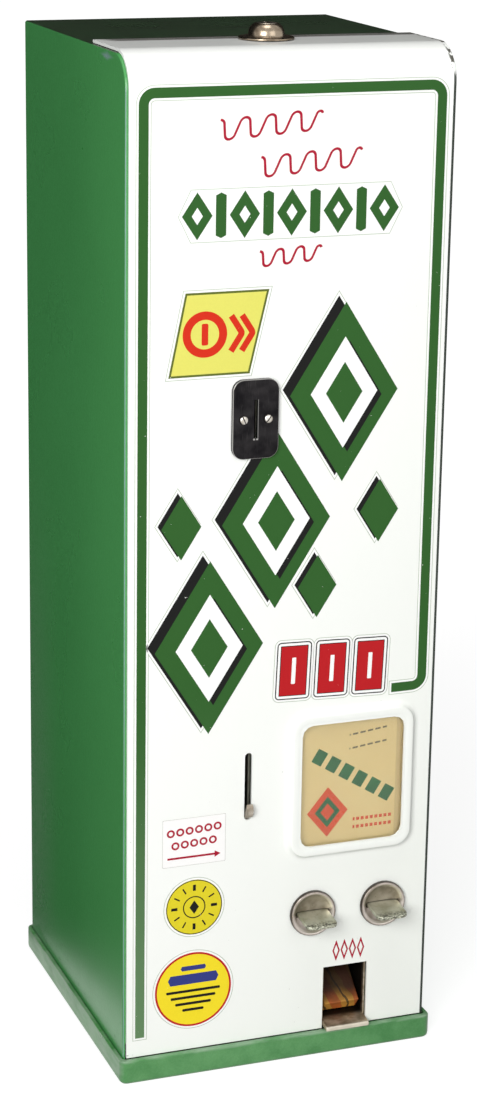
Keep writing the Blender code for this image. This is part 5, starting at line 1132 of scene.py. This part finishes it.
# painted shade in the screw slots
screw_slot_shade = screw_nickel.axis("Y").above(*(screw_seat_y - rise for rise in SCREW_SHADE_DEPTHS))
screw_nickel.drive(colour=screw_nickel.mix(screw_slot_shade * 0.9, screw_nickel.colour(), srgb(30, 26, 22)))
for side, way, turn in (("left", -1, 24), ("right", 1, -38)):
    slotted_screw("coin_plate_screw_" + side, SLOT_X + way * SCREW_SPACING, SLOT_Z, SCREW_SEAT, turn,
                  screw_nickel, "plate_screw_" + side)


# Coin return cup: a nickel plated scoop behind the return slot. Only its rounded nose stands out,
# at the slot's foot.

finished_copy("return_cup", "coin_return_cup", nickel, "door", 0.0002)


# Pulls: turned nickel cups with a rolled rim, and zinc plated steel tabs with rounded corners,
# which are the front ends of the slides. A highlight is painted on each cup's rolled rim and a
# shadow round its outer edge.

cup_nickel = aged_plate("dull_nickel", srgb(168, 158, 150), srgb(132, 122, 110), srgb(76, 66, 54), 0.30)
zinc = aged_plate("zinc_plated_steel", srgb(158, 158, 146), srgb(122, 120, 106), srgb(74, 68, 58), 0.36)
tab_zinc = aged_plate("worn_zinc", srgb(184, 186, 168), srgb(152, 152, 130), srgb(96, 92, 74), 0.46)
PULL_CENTRES = 0.0385, 0.0200, 0.0826   # middle of the pair, half their pitch, and their height
CUP_ROLL, CUP_ROLL_FADE = 0.0109, (0.0002, 0.0011)   # radius of the rolled rim, where a highlight is painted
# painted shadow round the cup's outer edge between these radii
CUP_OUTER = 0.0120, 0.0125
CUP_HIGHLIGHT, CUP_SHADE = srgb(226, 218, 210), srgb(52, 46, 42)
TAB_FRONT = -0.0970        # front ends of the tabs
TAB_WORN = TAB_FRONT + 0.0010, TAB_FRONT + 0.0064
TAB_SPECK = srgb(48, 44, 38)

pull_x = abs(abs(cup_nickel.axis("X") - PULL_CENTRES[0]) - PULL_CENTRES[1])
pull_z = cup_nickel.axis("Z") - PULL_CENTRES[2]
from_centre = (pull_x * pull_x + pull_z * pull_z).root()
# painted highlight on the rolled rim
cup_rim_highlight = abs(from_centre - CUP_ROLL).below(*CUP_ROLL_FADE)
cup_nickel.drive(colour=cup_nickel.over(cup_nickel.colour(), (cup_rim_highlight * 0.6, CUP_HIGHLIGHT),
                                        (from_centre.above(*CUP_OUTER) * 0.85, CUP_SHADE)))
worn_front = tab_zinc.axis("Y").below(*TAB_WORN)
speckled = worn_front * tab_zinc.noise(0.0011, 3).above(0.40, 0.60) * 0.8
tab_zinc.drive(colour=tab_zinc.mix(speckled, tab_zinc.colour(), TAB_SPECK))

for side in ("left", "right"):
    finished_copy("escutcheon_" + side, "pull_escutcheon_" + side, cup_nickel, "door", 0.0001)
    finished_copy("slide_" + side, "pull_slide_" + side, tab_zinc, "ejector_" + side, 0.0004, 3)


# Delivery chute: folded zinc plated sheet, painted black inside as painted shade, with a thick lip
# in front of the door that has grimed brown and carries a painted highlight along its front edge.

chute_zinc = aged_plate("chute_zinc", srgb(200, 188, 168), srgb(160, 146, 122), srgb(78, 64, 50), 0.50)
CHUTE_INSIDE = DOOR_FACE + 0.0006, DOOR_FACE + 0.0056
LIP_EDGE = DOOR_FACE - 0.0056, DOOR_FACE - 0.0050
LIP_GRIME, LIP_HIGHLIGHT, CHUTE_SHADE = srgb(112, 94, 72), srgb(206, 200, 186), srgb(16, 14, 13)

lip_grime = chute_zinc.noise(0.004, 4, (2, 1, 1)).above(0.40, 0.62)
# painted highlight along the lip's front edge
lip_edge_highlight = chute_zinc.axis("Y").below(*LIP_EDGE)
# painted shade inside the chute
inside_shade = chute_zinc.axis("Y").above(*CHUTE_INSIDE)
chute_zinc.drive(colour=chute_zinc.over(chute_zinc.colour(), (lip_grime * 0.6, LIP_GRIME),
                                        (lip_edge_highlight * 0.7, LIP_HIGHLIGHT), (inside_shade * 0.97, CHUTE_SHADE)))
finished_copy("chute", "delivery_chute", chute_zinc, "cabinet", 0.0002)


# Gum: packs in printed paper. One has dropped and leans in the chute, where only its foot is lit.
# The others wait in the columns and in front of the pushers.

WRAPPER_YELLOW = srgb(232, 164, 66)
WRAPPER_ORANGE = srgb(206, 88, 36)
WRAPPER_WORN = srgb(232, 180, 92)
CHUTE_GLOOM = srgb(20, 14, 11)
LINE_PITCH, LINE_WIDTH, LINE_LEAN, LINE_WAVE = 0.0134, 0.0060, 0.4, 0.006
BLACK_LINE, BLACK_LINE_HALF = 0.0094, 0.0006
PACK_FOOT = 0.0165, 0.0215     # plain yellow below these heights
GLOOM_Z, GLOOM_WAVE = (0.0224, 0.0365), 0.008


def wrapper(name, gloom=0.0):
    """Printed paper with slanted lines, darkened towards its top in the chute by the gloom's share."""
    made = Finish(name, specular=0.3)
    line = made.axis("X") + made.axis("Z") * LINE_LEAN + made.noise(0.011, 3) * LINE_WAVE
    line = (line + 1).wrapped(LINE_PITCH)
    printed = made.mix(line < LINE_WIDTH, WRAPPER_YELLOW, WRAPPER_ORANGE)
    printed = made.over(printed, (abs(line - BLACK_LINE) < BLACK_LINE_HALF, BLACK_INK),
                        (made.noise(0.006, 3) * 0.4, WRAPPER_WORN))
    if gloom:
        depth = (made.axis("Z") + made.noise(0.012, 3) * GLOOM_WAVE).above(*GLOOM_Z)
        printed = made.over(printed, (made.axis("Z").below(*PACK_FOOT) * 0.8, WRAPPER_YELLOW),
                            (depth * gloom, CHUTE_GLOOM))
    made.drive(colour=printed, roughness=made.noise(0.004, 3) * 0.3 + 0.4)
    return made.bump(made.noise(0.0022, 3), 0.0002)


finished_copy("dropped_pack", "vended_pack", wrapper("wrapper_in_chute", 0.96), "dropped_pack", 0.0003)
wrapped = wrapper("gum_wrapper")
for side in ("left", "right"):
    finished_copy("stack_" + side, "gum_stack_" + side, wrapped, "door")
    finished_copy("next_pack_" + side + "_wrapped", "next_pack_" + side, wrapped, "ejector_" + side)


# Lock: a nickel plated dome in a ring, turned from bar, with the plug's keyway in its top. Its
# plating has gone brown in patches. Its barrel passes down through the door's flange.

LOCK_Y = -0.0385
LOCK_CUT = 0.5351          # the CAD barrel is kept below this height
LOCK_OVERLAP = 0.0001      # of the spun dome over the cut
LOCK_PROFILE = (  # radius and height over the cut, in mm: the ring, then the dome, then the bore
    (5.6, 0.0), (13.3, 0.0), (13.8, 0.12), (14.0, 0.45), (13.9, 0.85), (13.5, 1.15), (12.6, 1.35),
    (10.4, 1.42), (9.4, 1.6), (9.1, 2.1), (9.0, 2.8), (8.8, 3.9), (8.4, 5.0), (7.9, 5.9), (7.3, 6.6),
    (6.6, 7.2), (6.1, 7.5), (5.75, 7.6), (5.5, 7.4), (5.5, 2.0),
)

lock_nickel = aged_plate("bronzed_nickel", srgb(158, 144, 126), srgb(88, 74, 58), srgb(40, 30, 22), 0.24)
bm = bmesh.new()
bm.from_mesh(frame["nodes"]["lock_shell"].data)
merge(bm)
cut(bm, (0, 0, LOCK_CUT - LOCK_OVERLAP), (0, 0, 1), clear_outer=True)
spin_profile(bm, [(radius * MM, LOCK_CUT + height * MM) for radius, height in LOCK_PROFILE], 64, LOCK_Y)
hang(piece_of("lock_dome", bm), lock_nickel, "door", "lock_shell")
finished_copy("lock_barrel", "lock_plug", nickel, "lock_cylinder", 0.0001)


# Works: all that is left, such as the coin track, the frame, shafts, pawls, columns, hinges and cash
# box, of zinc plated steel, brass and dark steel. They keep their CAD shape, smooth where round.

BRASS_BRIGHT, BRASS_DULL = srgb(196, 160, 92), srgb(150, 116, 62)

brass = Finish("brass", metallic=1.0)
brass_stain = brass.noise(0.008, 4)
brass.drive(colour=brass.mix(brass_stain, BRASS_BRIGHT, BRASS_DULL), roughness=brass_stain * 0.25 + 0.25)
brass.bump(brass.noise(0.0012, 3), 0.00003)
by_slot = {"zinc_plate": zinc, "brass": brass, "dark_steel": dark_steel, "aged_nickel": nickel}
slots = {row["node"]: row["material_slot"] for row in frame["record"]["subparts"]}
homes = {node: body for body, nodes in frame["record"]["behaviour"]["bodies"].items() for node in nodes}
for node, made in frame["nodes"].items():
    if not made.hide_render:
        finished_copy(node + "_piece", node, by_slot[slots[node]], homes[node])
